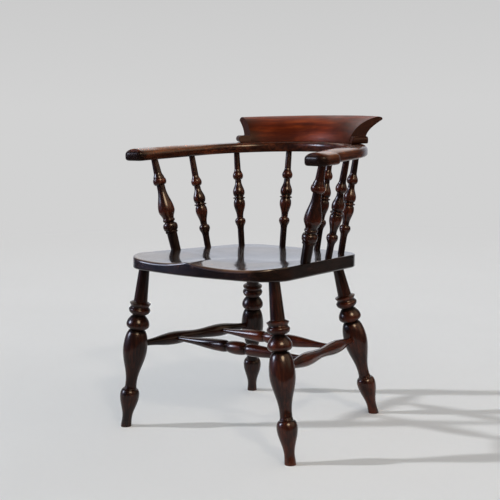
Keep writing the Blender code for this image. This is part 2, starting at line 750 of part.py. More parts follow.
def round_plinth_ends(mesh):
    """Rounds the top and bottom edges of the plinth's two end faces."""
    plinth = bmesh.new()
    plinth.from_mesh(mesh)
    ends = [face for face in plinth.faces if abs(face.normal.z) < 0.1 and crosses_plinth(face)]
    edges = {edge for face in ends for edge in face.edges if is_level(edge)}
    bmesh.ops.bevel(
        plinth,
        geom=[edge for edge in plinth.edges if edge in edges],
        offset=CREST_PLINTH_ROUND,
        segments=PLINTH_EDGE_STEPS,
        profile=0.5,
        affect="EDGES",
    )
    plinth.to_mesh(mesh)
    plinth.free()
    smooth(mesh)


def crosses_plinth(face):
    """True for an end face, which runs from the plinth's inner radius to its outer radius."""
    reach = [vert.co.xy.length for vert in face.verts]
    return max(reach) - min(reach) > CREST_WIDTH / 2


def is_level(edge):
    return abs(edge.verts[0].co.z - edge.verts[1].co.z) < FIT


def make_screw(name, angle, arm, crest, material):
    """A countersunk screw whose head sits in the underside of the arm."""
    place = Matrix.Translation((0, BOW_RADIUS + CREST_SET_BACK, SCREW_SUNK))
    frame = bow_frame @ Matrix.Rotation(-angle, 4, "Z") @ place
    head = [(0.0, SCREW_HEAD_RADIUS), (SCREW_HEAD_HEIGHT, SCREW_SHANK_RADIUS)]
    tip = [(SCREW_LENGTH - SCREW_POINT_LENGTH, SCREW_SHANK_RADIUS), (SCREW_LENGTH, FIT)]
    turn_piece(name, head + tip, SCREW_SIDES, frame, parts, material)
    loose = [(height, radius + FIT) for height, radius in head + tip]
    mouth = (-SCREW_SUNK - FIT, loose[0][1])
    hole = [mouth, *loose[:-1], (SCREW_LENGTH + FIT, 2 * FIT)]
    for host in (arm, crest):
        cut(host, turn_piece(name + "_hole_" + host.name, hole, SCREW_SIDES, frame, cutters))


# Assembly


def middle_of_length():
    """Halfway between the chair's foremost and rearmost points."""
    bpy.context.view_layer.update()
    graph = bpy.context.evaluated_depsgraph_get()
    solids = [obj.evaluated_get(graph) for obj in parts.objects if obj.type == "MESH"]
    reach = [(solid.matrix_world @ vert.co).y for solid in solids for vert in solid.data.vertices]
    return (min(reach) + max(reach)) / 2


clear_scene()
parts = new_collection("smokers_bow_chair")
cutters = new_collection("cutters")
root = bpy.data.objects.new("chair_frame", None)
parts.objects.link(root)

seat_frame = Matrix.Translation(on_seat(0, 0)) @ Matrix.Rotation(math.radians(-SEAT_SLOPE), 4, "X")
seat_frame = seat_frame @ Matrix.Translation((0, 0, -SEAT_THICKNESS))
bow_frame = Matrix.Translation(on_bow(0, BOW_CENTRE_Y)) @ Matrix.Rotation(math.radians(BOW_SLOPE), 4, "X")

crest_inner = BOW_RADIUS + CREST_SET_BACK - CREST_WIDTH / 2
crest_outer = crest_inner + CREST_WIDTH

turned = finish("polished_turning", TURNED_COLOR, POLISH_ROUGHNESS)
sawn = finish("polished_bow", BOW_COLOR, POLISH_ROUGHNESS)
steel = finish("bright_steel", STEEL_COLOR, STEEL_ROUGHNESS, 1.0)

SPINDLES = {
    "side": (
        (SIDE_SPINDLE_INSET, SIDE_SPINDLE_FROM_BACK),
        (SIDE_SPINDLE_ANGLE, SIDE_SPINDLE_BOW_INSET),
        SIDE_SPINDLE_FOOT,
    ),
    "corner": (
        (CORNER_SPINDLE_INSET, CORNER_SPINDLE_FROM_BACK),
        (CORNER_SPINDLE_ANGLE, CORNER_SPINDLE_BOW_INSET),
        CORNER_SPINDLE_FOOT,
    ),
    "back": (
        (BACK_SPINDLE_INSET, BACK_SPINDLE_FROM_BACK),
        (BACK_SPINDLE_ANGLE, BACK_SPINDLE_BOW_INSET),
        BACK_SPINDLE_FOOT,
    ),
}

seat = make_seat()
floor = make_floor_cutter()
crest = make_crest()
side_stretchers = []

for hand, side in (("left", -1), ("right", 1)):
    # Legs and the stretcher between them
    front_head = seat_place(side, FRONT_LEG_INSET, FRONT_LEG_FROM_FRONT - SEAT_FRONT, SEAT_THICKNESS)
    front_foot = foot_under(front_head, side * FRONT_SPLAY_OUT, -FRONT_SPLAY_FORWARD)
    back_head = seat_place(side, BACK_LEG_INSET, SEAT_BACK - BACK_LEG_FROM_BACK, SEAT_THICKNESS)
    back_foot = foot_under(back_head, side * BACK_SPLAY_OUT, BACK_SPLAY_BACKWARD)
    front_leg = make_leg("leg_front_" + hand, front_foot, front_head, seat, floor, turned)
    back_leg = make_leg("leg_back_" + hand, back_foot, back_head, seat, floor, turned)
    start = front_foot + (front_head - front_foot).normalized() * STRETCHER_FRONT_RISE
    end = back_foot + (back_head - back_foot).normalized() * STRETCHER_BACK_RISE
    profile = side_stretcher_profile((end - start).length)
    name = "stretcher_side_" + hand
    stretcher = make_stretcher(name, profile, start, end, (front_leg, back_leg), turned)
    run = (end - start).normalized() * SIDE_SWELL_INSET
    side_stretchers.append((stretcher, start + run, end - run))

    # Arm, its post and its spindles
    arm = make_arm("arm_" + hand, side, sawn)
    foot = seat_place(side, POST_SEAT_INSET, POST_SEAT_FROM_FRONT - SEAT_FRONT)
    hand_front = BOW_CENTRE_Y - HAND_FRONT
    head = on_bow(side * (HAND_OUTER_X - POST_HAND_INSET), hand_front + POST_HAND_FROM_FRONT)
    frame = along(foot, head)
    profile = post_profile((head - foot).length)
    make_upright("arm_post_" + hand, profile, POST_SIDES, frame, seat, arm, turned)
    for place, ((inset, from_back), (angle, bow_inset), plain_foot) in SPINDLES.items():
        foot = seat_place(side, inset, SEAT_BACK - from_back)
        head = round_bow(side * angle, bow_inset)
        frame = along(foot, head)
        profile = spindle_profile((head - foot).length, plain_foot)
        make_upright(f"spindle_{place}_{hand}", profile, SPINDLE_SIDES, frame, seat, arm, turned)

    # Screws that hold the crest down
    for number, angle in enumerate(SCREW_ANGLES, 1):
        make_screw(f"crest_screw_{hand}_{number}", math.radians(side * angle), arm, crest, steel)

(left, left_front, left_back), (right, right_front, right_back) = side_stretchers
for name, start, end in (("front", left_front, right_front), ("rear", left_back, right_back)):
    profile = cross_stretcher_profile((end - start).length)
    make_stretcher("stretcher_cross_" + name, profile, start, end, (left, right), turned)

# The origin ends up on the floor, below the middle of the chair's length
root.location.y = -middle_of_length()
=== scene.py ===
# %% [markdown]
# # A smoker's bow armchair
#
# This lesson dresses the plain solids of a low-back Windsor armchair. The solids come from the packed
# frame and fix where everything is. Each wooden piece is then made again with finer curves and gets a
# finish of dark stain under old, glossy polish. Lengths are in metres and the sitter faces -Y.

# %% Load the fixed frame
import math

import bmesh
import bpy
import numpy as np
from mathutils import Matrix, Vector


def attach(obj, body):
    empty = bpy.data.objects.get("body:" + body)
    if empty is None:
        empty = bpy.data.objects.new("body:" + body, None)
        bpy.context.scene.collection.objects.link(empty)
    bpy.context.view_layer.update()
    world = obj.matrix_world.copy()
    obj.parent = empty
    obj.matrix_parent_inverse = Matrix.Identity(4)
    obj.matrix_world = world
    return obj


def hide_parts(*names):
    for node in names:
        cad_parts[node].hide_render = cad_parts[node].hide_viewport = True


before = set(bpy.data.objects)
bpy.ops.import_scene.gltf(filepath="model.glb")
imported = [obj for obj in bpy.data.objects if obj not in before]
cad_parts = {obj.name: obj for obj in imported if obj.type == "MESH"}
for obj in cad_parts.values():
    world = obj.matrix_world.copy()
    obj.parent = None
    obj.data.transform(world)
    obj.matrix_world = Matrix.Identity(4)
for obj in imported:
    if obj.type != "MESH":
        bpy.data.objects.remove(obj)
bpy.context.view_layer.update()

# %% [markdown]
# ## One way to add a node
#
# Shader trees and geometry trees are both built by adding nodes and joining sockets. One small function
# adds a node. Its settings are the node's own properties. Each input takes a plain value, an output socket,
# or another node, which then stands for the first of its outputs that is in use.

# %% Add a node
def plug(node, inputs):
    """Sets or links inputs of a node."""
    for socket, value in inputs.items():
        if isinstance(value, bpy.types.Node):
            value = next(output for output in value.outputs if output.enabled)
        if isinstance(value, bpy.types.NodeSocket):
            node.id_data.links.new(value, node.inputs[socket])
        else:
            node.inputs[socket].default_value = value


def add(tree, kind, inputs=None, **settings):
    node = tree.nodes.new(kind)
    for name, value in settings.items():
        setattr(node, name, value)
    plug(node, inputs or {})
    return node


def new_material(name):
    """A material with its tree and its shader."""
    material = bpy.data.materials.new(name)
    material.use_nodes = True
    return material, material.node_tree, material.node_tree.nodes["Principled BSDF"]


# %% Turn an sRGB hex colour to linear
def linear(hex_color):
    channels = [int(hex_color[i : i + 2], 16) / 255 for i in (1, 3, 5)]
    return (*[c / 12.92 if c <= 0.04045 else ((c + 0.055) / 1.055) ** 2.4 for c in channels], 1.0)


print("mid grey is", [round(c, 3) for c in linear("#808080")])

# %% [markdown]
# ## The finish: polished, stained wood
#
# Chairs like this have an elm seat and beech turnings, stained dark red-brown and polished with shellac.
# The eye sees a deep colour that drifts along the grain, smoky clouds, fine dark pores, paler wood where
# hands have rubbed it, dull dirt in grooves that no cloth reaches, and a clear coat that mirrors the room.
# A flat map could be wrapped round each piece. A solid pattern is better here, because end grain and side
# grain then meet as they do in cut timber. So every piece carries two attributes that the wood reads:
# "grain", a place in the piece's own block of timber with its long way along Z, and "hollow", which is
# above 0 where the wood is darker and below 0 where it is paler. Darker is dirt, and on some pieces painted
# shade. Paler is rubbed wood, and on some pieces painted light and sheen.

# %% Patterns in a block of timber
BAND_STRETCH = 9
CLOUD_STRETCH = 2.2
# Width across the grain and length along it in mm, then the noise's detail, roughness and distortion.
# Real pores are finer, and are drawn this coarse so that they show.
PATTERNS = {
    "rubbing": (22, 22, 3.0, 0.6, 0.0),
    "pores": (0.7, 11, 2.0, 0.5, 0.0),
    "dullness": (45, 45, 3.0, 0.5, 0.0),
    "pools": (17, 17, 1.0, 0.5, 0.0),
}


def timber_patterns(tree, band_mm, cloud_mm):
    """Noise at its real size for each pattern of the wood."""
    place = add(tree, "ShaderNodeAttribute", attribute_name="grain").outputs["Vector"]
    bands = (band_mm, BAND_STRETCH * band_mm, 5.0, 0.6, 0.5)
    clouds = (cloud_mm, CLOUD_STRETCH * cloud_mm, 3.0, 0.55, 0.0)
    noises = {}
    for name, row in {**PATTERNS, "bands": bands, "clouds": clouds}.items():
        width, length, detail, roughness, distortion = row
        per_metre = (1000 / width, 1000 / width, 1000 / length)
        sized = add(tree, "ShaderNodeMapping", {"Vector": place, "Scale": per_metre})
        look = {"Scale": 1.0, "Detail": detail, "Roughness": roughness, "Distortion": distortion}
        noises[name] = add(tree, "ShaderNodeTexNoise", {"Vector": sized, **look})
    return noises


# %% Colour of the stain
TONES_AT = (0.32, 0.50, 0.70)
WORN_AND_LIT_MOST = 1.3
SMOKE_RANGE = {"From Min": 0.36, "From Max": 0.60, "To Min": 0.42}
PORE_RANGE = {"From Min": 0.34, "From Max": 0.48, "To Min": 0.85}
DIRT_AND_SHADE_RANGE = {"From Min": 0.05, "From Max": 0.8, "To Max": 0.95}
SOFTLY = {"interpolation_type": "SMOOTHSTEP"}


def stained(tree, noises, stain, worn_and_lit_tone, dirt_and_shade_tone):
    """The wood's colour, and how much dirt and painted shade darken it."""
    hollow = add(tree, "ShaderNodeAttribute", attribute_name="hollow").outputs["Fac"]
    tones = add(tree, "ShaderNodeValToRGB", {"Fac": noises["bands"]})
    stops = tones.color_ramp.elements
    stops[0].position, stops[1].position = TONES_AT[0], TONES_AT[2]
    stops.new(TONES_AT[1])
    for stop, tone in zip(stops, stain):
        stop.color = linear(tone)
    # Rubbed crowns and edges are paler, in patches. On some pieces the same paler tone is painted light and
    # sheen
    worn_and_lit = add(tree, "ShaderNodeMapRange", {"Value": hollow, "From Max": -1.0, "To Max": WORN_AND_LIT_MOST})
    patchy = add(
        tree, "ShaderNodeMath", {0: worn_and_lit, 1: noises["rubbing"]}, operation="MULTIPLY", use_clamp=True
    )
    paler = add(tree, "ShaderNodeMix", {0: patchy, 6: tones, 7: linear(worn_and_lit_tone)}, data_type="RGBA")
    # Old stain lies thicker in smoky clouds and in the pores
    darkening = add(tree, "ShaderNodeMapRange", {"Value": noises["clouds"], **SMOKE_RANGE}, **SOFTLY)
    pores = add(tree, "ShaderNodeMapRange", {"Value": noises["pores"], **PORE_RANGE}, **SOFTLY)
    shade = add(tree, "ShaderNodeMath", {0: darkening, 1: pores}, operation="MULTIPLY")
    deeper = add(
        tree, "ShaderNodeMix", {0: 1.0, 6: paler, 7: shade}, data_type="RGBA", blend_type="MULTIPLY"
    )
    # Dirt settles where the surface is hollow, and on some pieces painted shade is laid on the same way
    dirt_and_shade_share = add(tree, "ShaderNodeMapRange", {"Value": hollow, **DIRT_AND_SHADE_RANGE})
    dirty_and_shaded = add(tree, "ShaderNodeMix", {0: dirt_and_shade_share, 6: deeper, 7: linear(dirt_and_shade_tone)}, data_type="RGBA")
    return dirty_and_shaded, dirt_and_shade_share


# %% Polish over the stain
DULL_RANGE = {"From Min": 0.3, "From Max": 0.7, "To Min": 0.34, "To Max": 0.50}
# Pores dent the wood by a few hundredths of a millimetre, and the polish over it has pooled unevenly
PORE_DENTS = {"Strength": 0.25, "Distance": 0.00012}
POLISH_POOLS = {"Strength": 0.06, "Distance": 0.0005}
LEFT_OF_POLISH = 0.15
WOOD_IOR = 1.45
WOOD_GLOSS = 0.06


def polished_wood(name, stain, worn_and_lit_tone, dirt_and_shade_tone, band_mm, cloud_mm, coat, coat_roughness, coat_ior):
    """Stained wood under shellac, which has gone dull wherever dirt has settled and wherever shade is painted.
    """
    material, tree, shader = new_material(name)
    noises = timber_patterns(tree, band_mm, cloud_mm)
    color, dirt_and_shade_share = stained(tree, noises, stain, worn_and_lit_tone, dirt_and_shade_tone)
    left = {"Value": dirt_and_shade_share, "To Min": coat, "To Max": coat * LEFT_OF_POLISH}
    surface = {
        "Base Color": color,
        "Roughness": add(tree, "ShaderNodeMapRange", {"Value": noises["dullness"], **DULL_RANGE}),
        "Normal": add(tree, "ShaderNodeBump", {"Height": noises["pores"], **PORE_DENTS}),
        "IOR": WOOD_IOR,
        "Specular IOR Level": WOOD_GLOSS,
        "Coat Weight": add(tree, "ShaderNodeMapRange", left),
        "Coat Roughness": coat_roughness,
        "Coat IOR": coat_ior,
        "Coat Normal": add(tree, "ShaderNodeBump", {"Height": noises["pools"], **POLISH_POOLS}),
    }
    plug(shader, surface)
    return material


# %% Four woods of one chair
# Fresh shellac has an IOR near 1.5. Old, thin and waxed polish mirrors less, so each coat is set lower.
# Planed elm under the thickest polish: nearly black, and a mirror to what is behind it
# Its worn tone also paints the key lamp's sheen on the front roll
seat_elm = polished_wood(
    "polished_elm_seat", stain=("#0c0503", "#150905", "#25130c"), worn_and_lit_tone="#8a6248", dirt_and_shade_tone="#0c0604",
    band_mm=9, cloud_mm=60, coat=1.0, coat_roughness=0.08, coat_ior=1.42,
)
# Beech off the lathe: fine and even, dark red-brown, with crisp lights on every curve
# Its worn tone also paints light on the bulges of the turnings
turned_beech = polished_wood(
    "polished_beech_turning", stain=("#130604", "#210b05", "#38180a"), worn_and_lit_tone="#5e2610", dirt_and_shade_tone="#080403",
    band_mm=6, cloud_mm=35, coat=0.9, coat_roughness=0.12, coat_ior=1.33,
)
# Sawn and spokeshaved elm: brown where sleeves rub it and where light is painted on its top edges, almost black
# elsewhere
bow_elm = polished_wood(
    "polished_elm_bow", stain=("#1c0c06", "#3a190b", "#562a14"), worn_and_lit_tone="#96592f", dirt_and_shade_tone="#0f0705",
    band_mm=8, cloud_mm=45, coat=0.8, coat_roughness=0.13, coat_ior=1.36,
)
# Elm that has lost most of its polish: red and satin, with broad bands
crest_elm = polished_wood(
    "polished_elm_crest", stain=("#47180b", "#60240f", "#7a3414"), worn_and_lit_tone="#8a5230", dirt_and_shade_tone="#24130c",
    band_mm=11, cloud_mm=60, coat=0.10, coat_roughness=0.38, coat_ior=1.38,
)
print("woods:", [wood.name for wood in (seat_elm, turned_beech, bow_elm, crest_elm)])

# %% [markdown]
# ## Where the pieces stand
#
# On the real chair the seat slopes down to the back and the bow slopes up to it, and every turning runs
# between the two at its own angle. Each could be placed by turning angles. Two functions that give a point
# on the seat or under the bow are simpler: a turned piece then needs only the two ends of its axis.

# %% Seat and bow planes
SIDES = {"left": -1, "right": 1}
FRAME_Y = -0.0201
SEAT_HEIGHT = 0.449
SEAT_SLOPE = math.radians(2.55)
SEAT_THICKNESS = 0.034
SEAT_FRONT = 0.296
SEAT_FRONT_BOW = 0.034
SEAT_FRONT_HALF_WIDTH = 0.2425
SEAT_BACK = 0.210
SEAT_BACK_HALF_WIDTH = 0.191
BOW_RISE = 0.2458
BOW_SLOPE = math.radians(1.6)
BOW_CENTRE_Y = 0.010
BOW_RADIUS = 0.2495


def on_seat(x, y, below=0.0):
    return Vector((x, y + FRAME_Y, SEAT_HEIGHT - below - y * math.tan(SEAT_SLOPE)))


def seat_place(side, inset, y, below=0.0):
    """The point this far in from the straight left (-1) or right (1) side of the seat."""
    front = SEAT_FRONT_BOW - SEAT_FRONT
    share = (y - front) / (SEAT_BACK - front)
    width = SEAT_FRONT_HALF_WIDTH + (SEAT_BACK_HALF_WIDTH - SEAT_FRONT_HALF_WIDTH) * share
    return on_seat(side * (width - inset), y, below)


def on_bow(x, y):
    return Vector((x, y + FRAME_Y, SEAT_HEIGHT + BOW_RISE + y * math.tan(BOW_SLOPE)))


def about(reach, angle):
    """x and y about the bow's centre, at this angle from the middle of the back."""
    return reach * np.sin(angle), reach * np.cos(angle)


def round_bow(angle, inset):
    """The point under the bow at this angle."""
    x, y = about(BOW_RADIUS - inset, angle)
    return on_bow(x, BOW_CENTRE_Y + y)


seat_frame = Matrix.Translation(on_seat(0, 0)) @ Matrix.Rotation(-SEAT_SLOPE, 4, "X")
seat_frame = seat_frame @ Matrix.Translation((0, 0, -SEAT_THICKNESS))
bow_frame = Matrix.Translation(on_bow(0, BOW_CENTRE_Y)) @ Matrix.Rotation(BOW_SLOPE, 4, "X")
print("bow underside at the back:", [round(c, 4) for c in round_bow(0.0, 0.0)])

# %% [markdown]
# ## A lathe in Geometry Nodes
#
# Sixteen pieces of this chair come off a lathe, so one node tree turns them all. Its input is a line of
# points up the axis, each with a radius. The line becomes a curve, a circle of many sides is swept along
# it, and the radius scales the circle at every point. A Screw modifier would do the same, but the tree
# also writes the grain attribute that the wood reads, and carries the hollow attribute over by itself.

# %% A geometry tree and how it is run
def new_tree(name, inputs):
    """A geometry tree with these named inputs and their kinds, and its input sockets."""
    tree = bpy.data.node_groups.new(name, "GeometryNodeTree")
    tree.interface.new_socket("Geometry", in_out="OUTPUT", socket_type="NodeSocketGeometry")
    for label, kind in {"Geometry": "Geometry", **inputs}.items():
        tree.interface.new_socket(label, in_out="INPUT", socket_type="NodeSocket" + kind)
    return tree, add(tree, "NodeGroupInput").outputs


def put(name, data):
    """A new object in the scene, at the origin."""
    obj = bpy.data.objects.new(name, data)
    bpy.context.scene.collection.objects.link(obj)
    return obj


def evaluated(obj):
    """A plain mesh of the object as its modifiers make it. The object is then removed."""
    bpy.context.view_layer.update()
    mesh = bpy.data.meshes.new_from_object(obj.evaluated_get(bpy.context.evaluated_depsgraph_get()))
    bpy.data.objects.remove(obj)
    return mesh


def run_tree(tree, obj, values):
    """Runs a tree on an object. Values go in by each socket's identifier, before it is first evaluated."""
    modifier = obj.modifiers.new(tree.name, "NODES")
    modifier.node_group = tree
    for item in tree.interface.items_tree:
        if item.in_out == "INPUT" and item.name in values:
            modifier[item.identifier] = values[item.name]
    return evaluated(obj)


# %% The lathe tree
lathe, given = new_tree("lathe", {"Sides": "Int", "Grain Start": "Vector", "Wood": "Material"})
axis = add(lathe, "GeometryNodeMeshToCurve", {"Mesh": given["Geometry"]})
circle = add(lathe, "GeometryNodeCurvePrimitiveCircle", {"Resolution": given["Sides"], "Radius": 1.0})
radius = add(lathe, "GeometryNodeInputNamedAttribute", {"Name": "turned_radius"})
swept = add(
    lathe,
    "GeometryNodeCurveToMesh",
    {"Curve": axis, "Profile Curve": circle, "Scale": radius, "Fill Caps": True},
)
place = add(lathe, "GeometryNodeInputPosition")
shifted = add(lathe, "ShaderNodeVectorMath", {0: place, 1: given["Grain Start"]}, operation="ADD")
grained = add(
    lathe,
    "GeometryNodeStoreNamedAttribute",
    {"Geometry": swept, "Name": "grain", "Value": shifted},
    data_type="FLOAT_VECTOR",
)
smooth = add(lathe, "GeometryNodeSetShadeSmooth", {"Geometry": grained})
real = add(lathe, "GeometryNodeRealizeInstances", {"Geometry": smooth})
wood = add(lathe, "GeometryNodeSetMaterial", {"Geometry": real, "Material": given["Wood"]})
add(lathe, "NodeGroupOutput", {"Geometry": wood})
print("lathe inputs:", [socket.name for socket in given if socket.name])

# %% [markdown]
# ## Profiles
#
# A turner thinks in straight lengths, swelling curves and beads. Four functions add these to a profile, a
# list of (height, radius) points. It could be drawn as a curve by hand, but lengths and radii are what a
# turner measures. Points lie about a millimetre apart, so a smooth-shaded surface keeps its steps crisp.

# %% Straight, eased, bulging and bell-shaped lengths
POINT_GAP = 0.0014
CRISP = 0.0004
LEAST_POINTS = 7


def carry(profile, length, radius, shares, shape):
    """Adds a point for each share of the way, which shape turns to shares of the length and of the radius."""
    height, start = profile[-1]
    for along, out in map(shape, shares):
        profile.append((height + length * along, start + (radius - start) * out))


def even_shares(length, least=LEAST_POINTS):
    count = max(least, math.ceil(length / POINT_GAP))
    return [i / count for i in range(1, count + 1)]


def straight(profile, length, radius):
    crisp = CRISP / max(abs(length), 3 * CRISP)
    shares = sorted([crisp, 1 - crisp, *even_shares(abs(length), 2)])
    carry(profile, length, radius, shares, lambda share: (share, share))


def ease(profile, length, radius):
    """An S-shaped length, level at both ends."""
    shares = even_shares(length, LEAST_POINTS - 1)
    carry(profile, length, radius, shares, lambda share: (share, (1 - math.cos(math.pi * share)) / 2))


def bulge(profile, length, radius):
    """A quarter of an ellipse, level at its fuller end."""
    change = radius - profile[-1][1]
    shares = [math.pi / 2 * share for share in even_shares(length + abs(change))]
    if change < 0:
        carry(profile, length, radius, shares, lambda turn_by: (math.sin(turn_by), 1 - math.cos(turn_by)))
    else:
        carry(profile, length, radius, shares, lambda turn_by: (1 - math.cos(turn_by), math.sin(turn_by)))


def bell(profile, length, radius):
    """A length that is level at its start and slopes ever more, like a bell's shoulder."""
    shares = even_shares(length + abs(radius - profile[-1][1]))
    carry(profile, length, radius, shares, lambda share: (share, share**2))


# %% A whole profile from its cuts
def cut(profile, cuts):
    """Carries a profile on by cuts of (shape, length, radius)."""
    for shape, length, radius in cuts:
        shape(profile, length, radius)
    return profile


def tenoned(profile, length, radius, tenon):
    """Carries a profile on to its full length by a plain taper, and then by a tenon."""
    return cut(profile, ((straight, length - profile[-1][0], radius), (straight, tenon, radius)))


print("a bead:", len(cut([(0, 0.01)], ((bulge, 0.005, 0.013), (bulge, 0.005, 0.01)))), "points")

# %% How deep each point of a profile lies
GROOVE_REACH = 0.011
GROOVE_DEPTH = 0.007
CROWN_REACH = 0.030
CROWN_STEP = 0.001
CROWN_RISE = 0.005


def hollows(profile):
    """For each point, up to 1 in a groove that a cloth can't reach, and down to -1 on a crown, painted paler as
    wear and as light on the bulge.
    """
    heights, radii = np.array(profile).T
    steps = np.arange(-CROWN_REACH, CROWN_REACH, CROWN_STEP)
    deep = []
    for height, radius in profile:
        below = radii[(heights > height - GROOVE_REACH) & (heights <= height)].max()
        above = radii[(heights < height + GROOVE_REACH) & (heights >= height)].max()
        groove = (min(below, above) - radius) / GROOVE_DEPTH
        crown = (radius - np.interp(height + steps, heights, radii).mean()) / CROWN_RISE
        deep.append(np.clip(groove, 0, 1) - np.clip(crown, 0, 1))
    return np.array(deep)


print("a groove 7 mm deep has hollow", hollows([(0, 0.02), (0.005, 0.013), (0.01, 0.02)]).max())

# %% Finish any piece
def face_outwards(mesh, cut_at_floor=False):
    """Recalculates which way the faces point, after the floor has cut off what is below it, if asked."""
    body = bmesh.new()
    body.from_mesh(mesh)
    if cut_at_floor:
        everything = [*body.verts, *body.edges, *body.faces]
        floor = {"plane_co": (0, 0, 0), "plane_no": (0, 0, 1)}
        bmesh.ops.bisect_plane(body, geom=everything, clear_inner=True, **floor)
        bmesh.ops.holes_fill(body, edges=[edge for edge in body.edges if edge.is_boundary])
    bmesh.ops.recalc_face_normals(body, faces=body.faces)
    body.to_mesh(mesh)
    body.free()


def finish_piece(name, mesh, slot, *nodes):
    """Puts a finished mesh in the scene, on the chair's one body, in place of these solids."""
    piece = put(name, mesh)
    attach(piece, "root")
    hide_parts(*nodes)
    print(name, "has", len(mesh.polygons), "faces")


# %% Turn one piece
TURNED_SIDES = 40
# Each turning is cut from another part of the timber, this much further on
NEXT_BLOCK = (0.31, 0.17, 0.53)
turned_pieces = []


def turn(name, profile, start, end, sides=TURNED_SIDES, worn_and_lit=1.0, wear_light_and_shade=None, cut_at_floor=False):
    """Turns a piece. Its crowns are paler by the given share, as wear and as painted light. A function of
    height may give what to add to the hollow of each point: wear, and on some pieces painted light and shade.
    """
    turned_pieces.append(name)
    heights, radii = np.array(profile).T
    depths = hollows(profile)
    depths = np.where(depths < 0, depths * worn_and_lit, depths)
    if wear_light_and_shade:
        depths += wear_light_and_shade(heights)
    line = bpy.data.meshes.new(name + "_line")
    line.from_pydata([(0, 0, height) for height in heights], [(i, i + 1) for i in range(len(profile) - 1)], [])
    for label, values in (("turned_radius", radii), ("hollow", depths)):
        line.attributes.new(label, "FLOAT", "POINT").data.foreach_set("value", values)
    block = tuple(step * len(turned_pieces) for step in NEXT_BLOCK)
    values = {"Sides": sides, "Grain Start": block, "Wood": turned_beech}
    mesh = run_tree(lathe, put(name + "_line", line), values)
    mesh.name = name
    mesh.transform(Matrix.LocRotScale(start, (end - start).to_track_quat("Z", "Y"), None))
    face_outwards(mesh, cut_at_floor)
    finish_piece(name + "_turned", mesh, "turned_wood", name)


# %% [markdown]
# ## Legs
#
# Each leg is one turning: a bulb at the ankle, a long vase, a bell-shaped ball, two rings and a plain taper
# up to the seat. Shoes have rubbed the feet, and the legs of one side are painted darker, as shade. A leg
# splays, so a foot drawn square would dig into the floor. The profile goes on below it, and the floor cuts it
# level.

# %% Leg profile
LEG_FOOT = ((-0.014, 0.0138), (0.0, 0.0138))
LEG_CUTS = (
    (ease, 0.022, 0.0127),  # ankle
    (ease, 0.064, 0.0250),  # bulb
    (bulge, 0.0175, 0.0163),
    (ease, 0.0085, 0.0148),  # neck
    (straight, 0.008, 0.0147),
    (ease, 0.093, 0.0313),  # vase
    (bulge, 0.050, 0.0165),
    (straight, 0.0015, 0.0148),  # groove
    (bulge, 0.0120, 0.0298),  # ball
    (bell, 0.0262, 0.0142),
    (straight, 0.0018, 0.0140),  # groove
    (straight, 0.0005, 0.0206),  # lower ring
    (straight, 0.0015, 0.0208),
    (bulge, 0.0105, 0.0277),
    (ease, 0.008, 0.0228),  # hollow between the rings
    (straight, 0.0075, 0.0268),  # upper ring
    (straight, 0.0015, 0.0268),
    (straight, 0.0045, 0.0178),
)
LEG_HEAD_RADIUS = 0.0133
LEG_TENON = 0.022


def leg_profile(length):
    return tenoned(cut(list(LEG_FOOT), LEG_CUTS), length, LEG_HEAD_RADIUS, LEG_TENON)


# %% How far a value has come
def part(value, start, full):
    """0 before start, 1 past full, and an even share between."""
    return np.clip((value - start) / (full - start), 0, 1)


print("half way:", part(1.5, 1, 2))

# %% Four legs and the stretchers' places
LEG_SIDES = 48
# How much paler a leg's crowns are, as wear and as painted light on its bulges
LEG_WORN_AND_LIT = 0.3
FOOT_RUBBED = 0.5
FOOT_WEAR = 0.075
# Painted shade on the legs of one side
LEG_SIDE_SHADE = {"left": 0.4, "right": 0.0}
# Where a leg's head enters the seat, how far out and back its foot stands, and where its stretcher enters
LEGS = {
    "front": {"inset": 0.0327, "y": 0.0832 - SEAT_FRONT, "out": 0.0589, "back": -0.0241, "stretcher": 0.222},
    "back": {"inset": 0.0566, "y": SEAT_BACK - 0.0496, "out": 0.0665, "back": 0.0765, "stretcher": 0.214},
}
stretcher_ends = {"left": [], "right": []}


def worn_foot_and_side_shade(side_shade):
    """Shoes rub the foot of a leg, and the legs of one side are painted darker, as shade."""
    return lambda height: side_shade - FOOT_RUBBED * part(height, FOOT_WEAR, 0)


for hand, side in SIDES.items():
    for end, leg in LEGS.items():
        head = seat_place(side, leg["inset"], leg["y"], SEAT_THICKNESS)
        foot = Vector((head.x + side * leg["out"], head.y + leg["back"], 0))
        profile = leg_profile((head - foot).length)
        turn(f"leg_{end}_{hand}", profile, foot, head, LEG_SIDES, LEG_WORN_AND_LIT, worn_foot_and_side_shade(LEG_SIDE_SHADE[hand]), True)
        stretcher_ends[hand].append(foot + (head - foot).normalized() * leg["stretcher"])
print("the last foot stands at", [round(c, 4) for c in foot])

# %% [markdown]
# ## Stretchers
#
# The side stretchers run from front leg to back leg and swell where the cross stretchers enter them. The
# cross stretchers are two cones with a bead between. Both ends of each are alike, so half a profile is cut
# and mirrored, which is surer than cutting the same lengths twice.

# %% Stretcher profiles
# Where a tenon starts in its socket and its radius
SIDE_TENON = (0.013, 0.0082)
CROSS_TENON = (0.005, 0.0066)
TENON_END = 0.020
SIDE_SWELL_INSET = 0.132
BEAD_NECK = 0.0165
BEAD_HALF = 0.0305


def mirrored(half, length):
    return half + [(length - height, radius) for height, radius in reversed(half[:-1])]


def side_stretcher_profile(length):
    half = cut([SIDE_TENON], [(straight, TENON_END, SIDE_TENON[1])])
    swell = (ease, SIDE_SWELL_INSET - half[-1][0], 0.0172)
    return mirrored(cut(half, [swell, (ease, length / 2 - SIDE_SWELL_INSET, 0.0125)]), length)


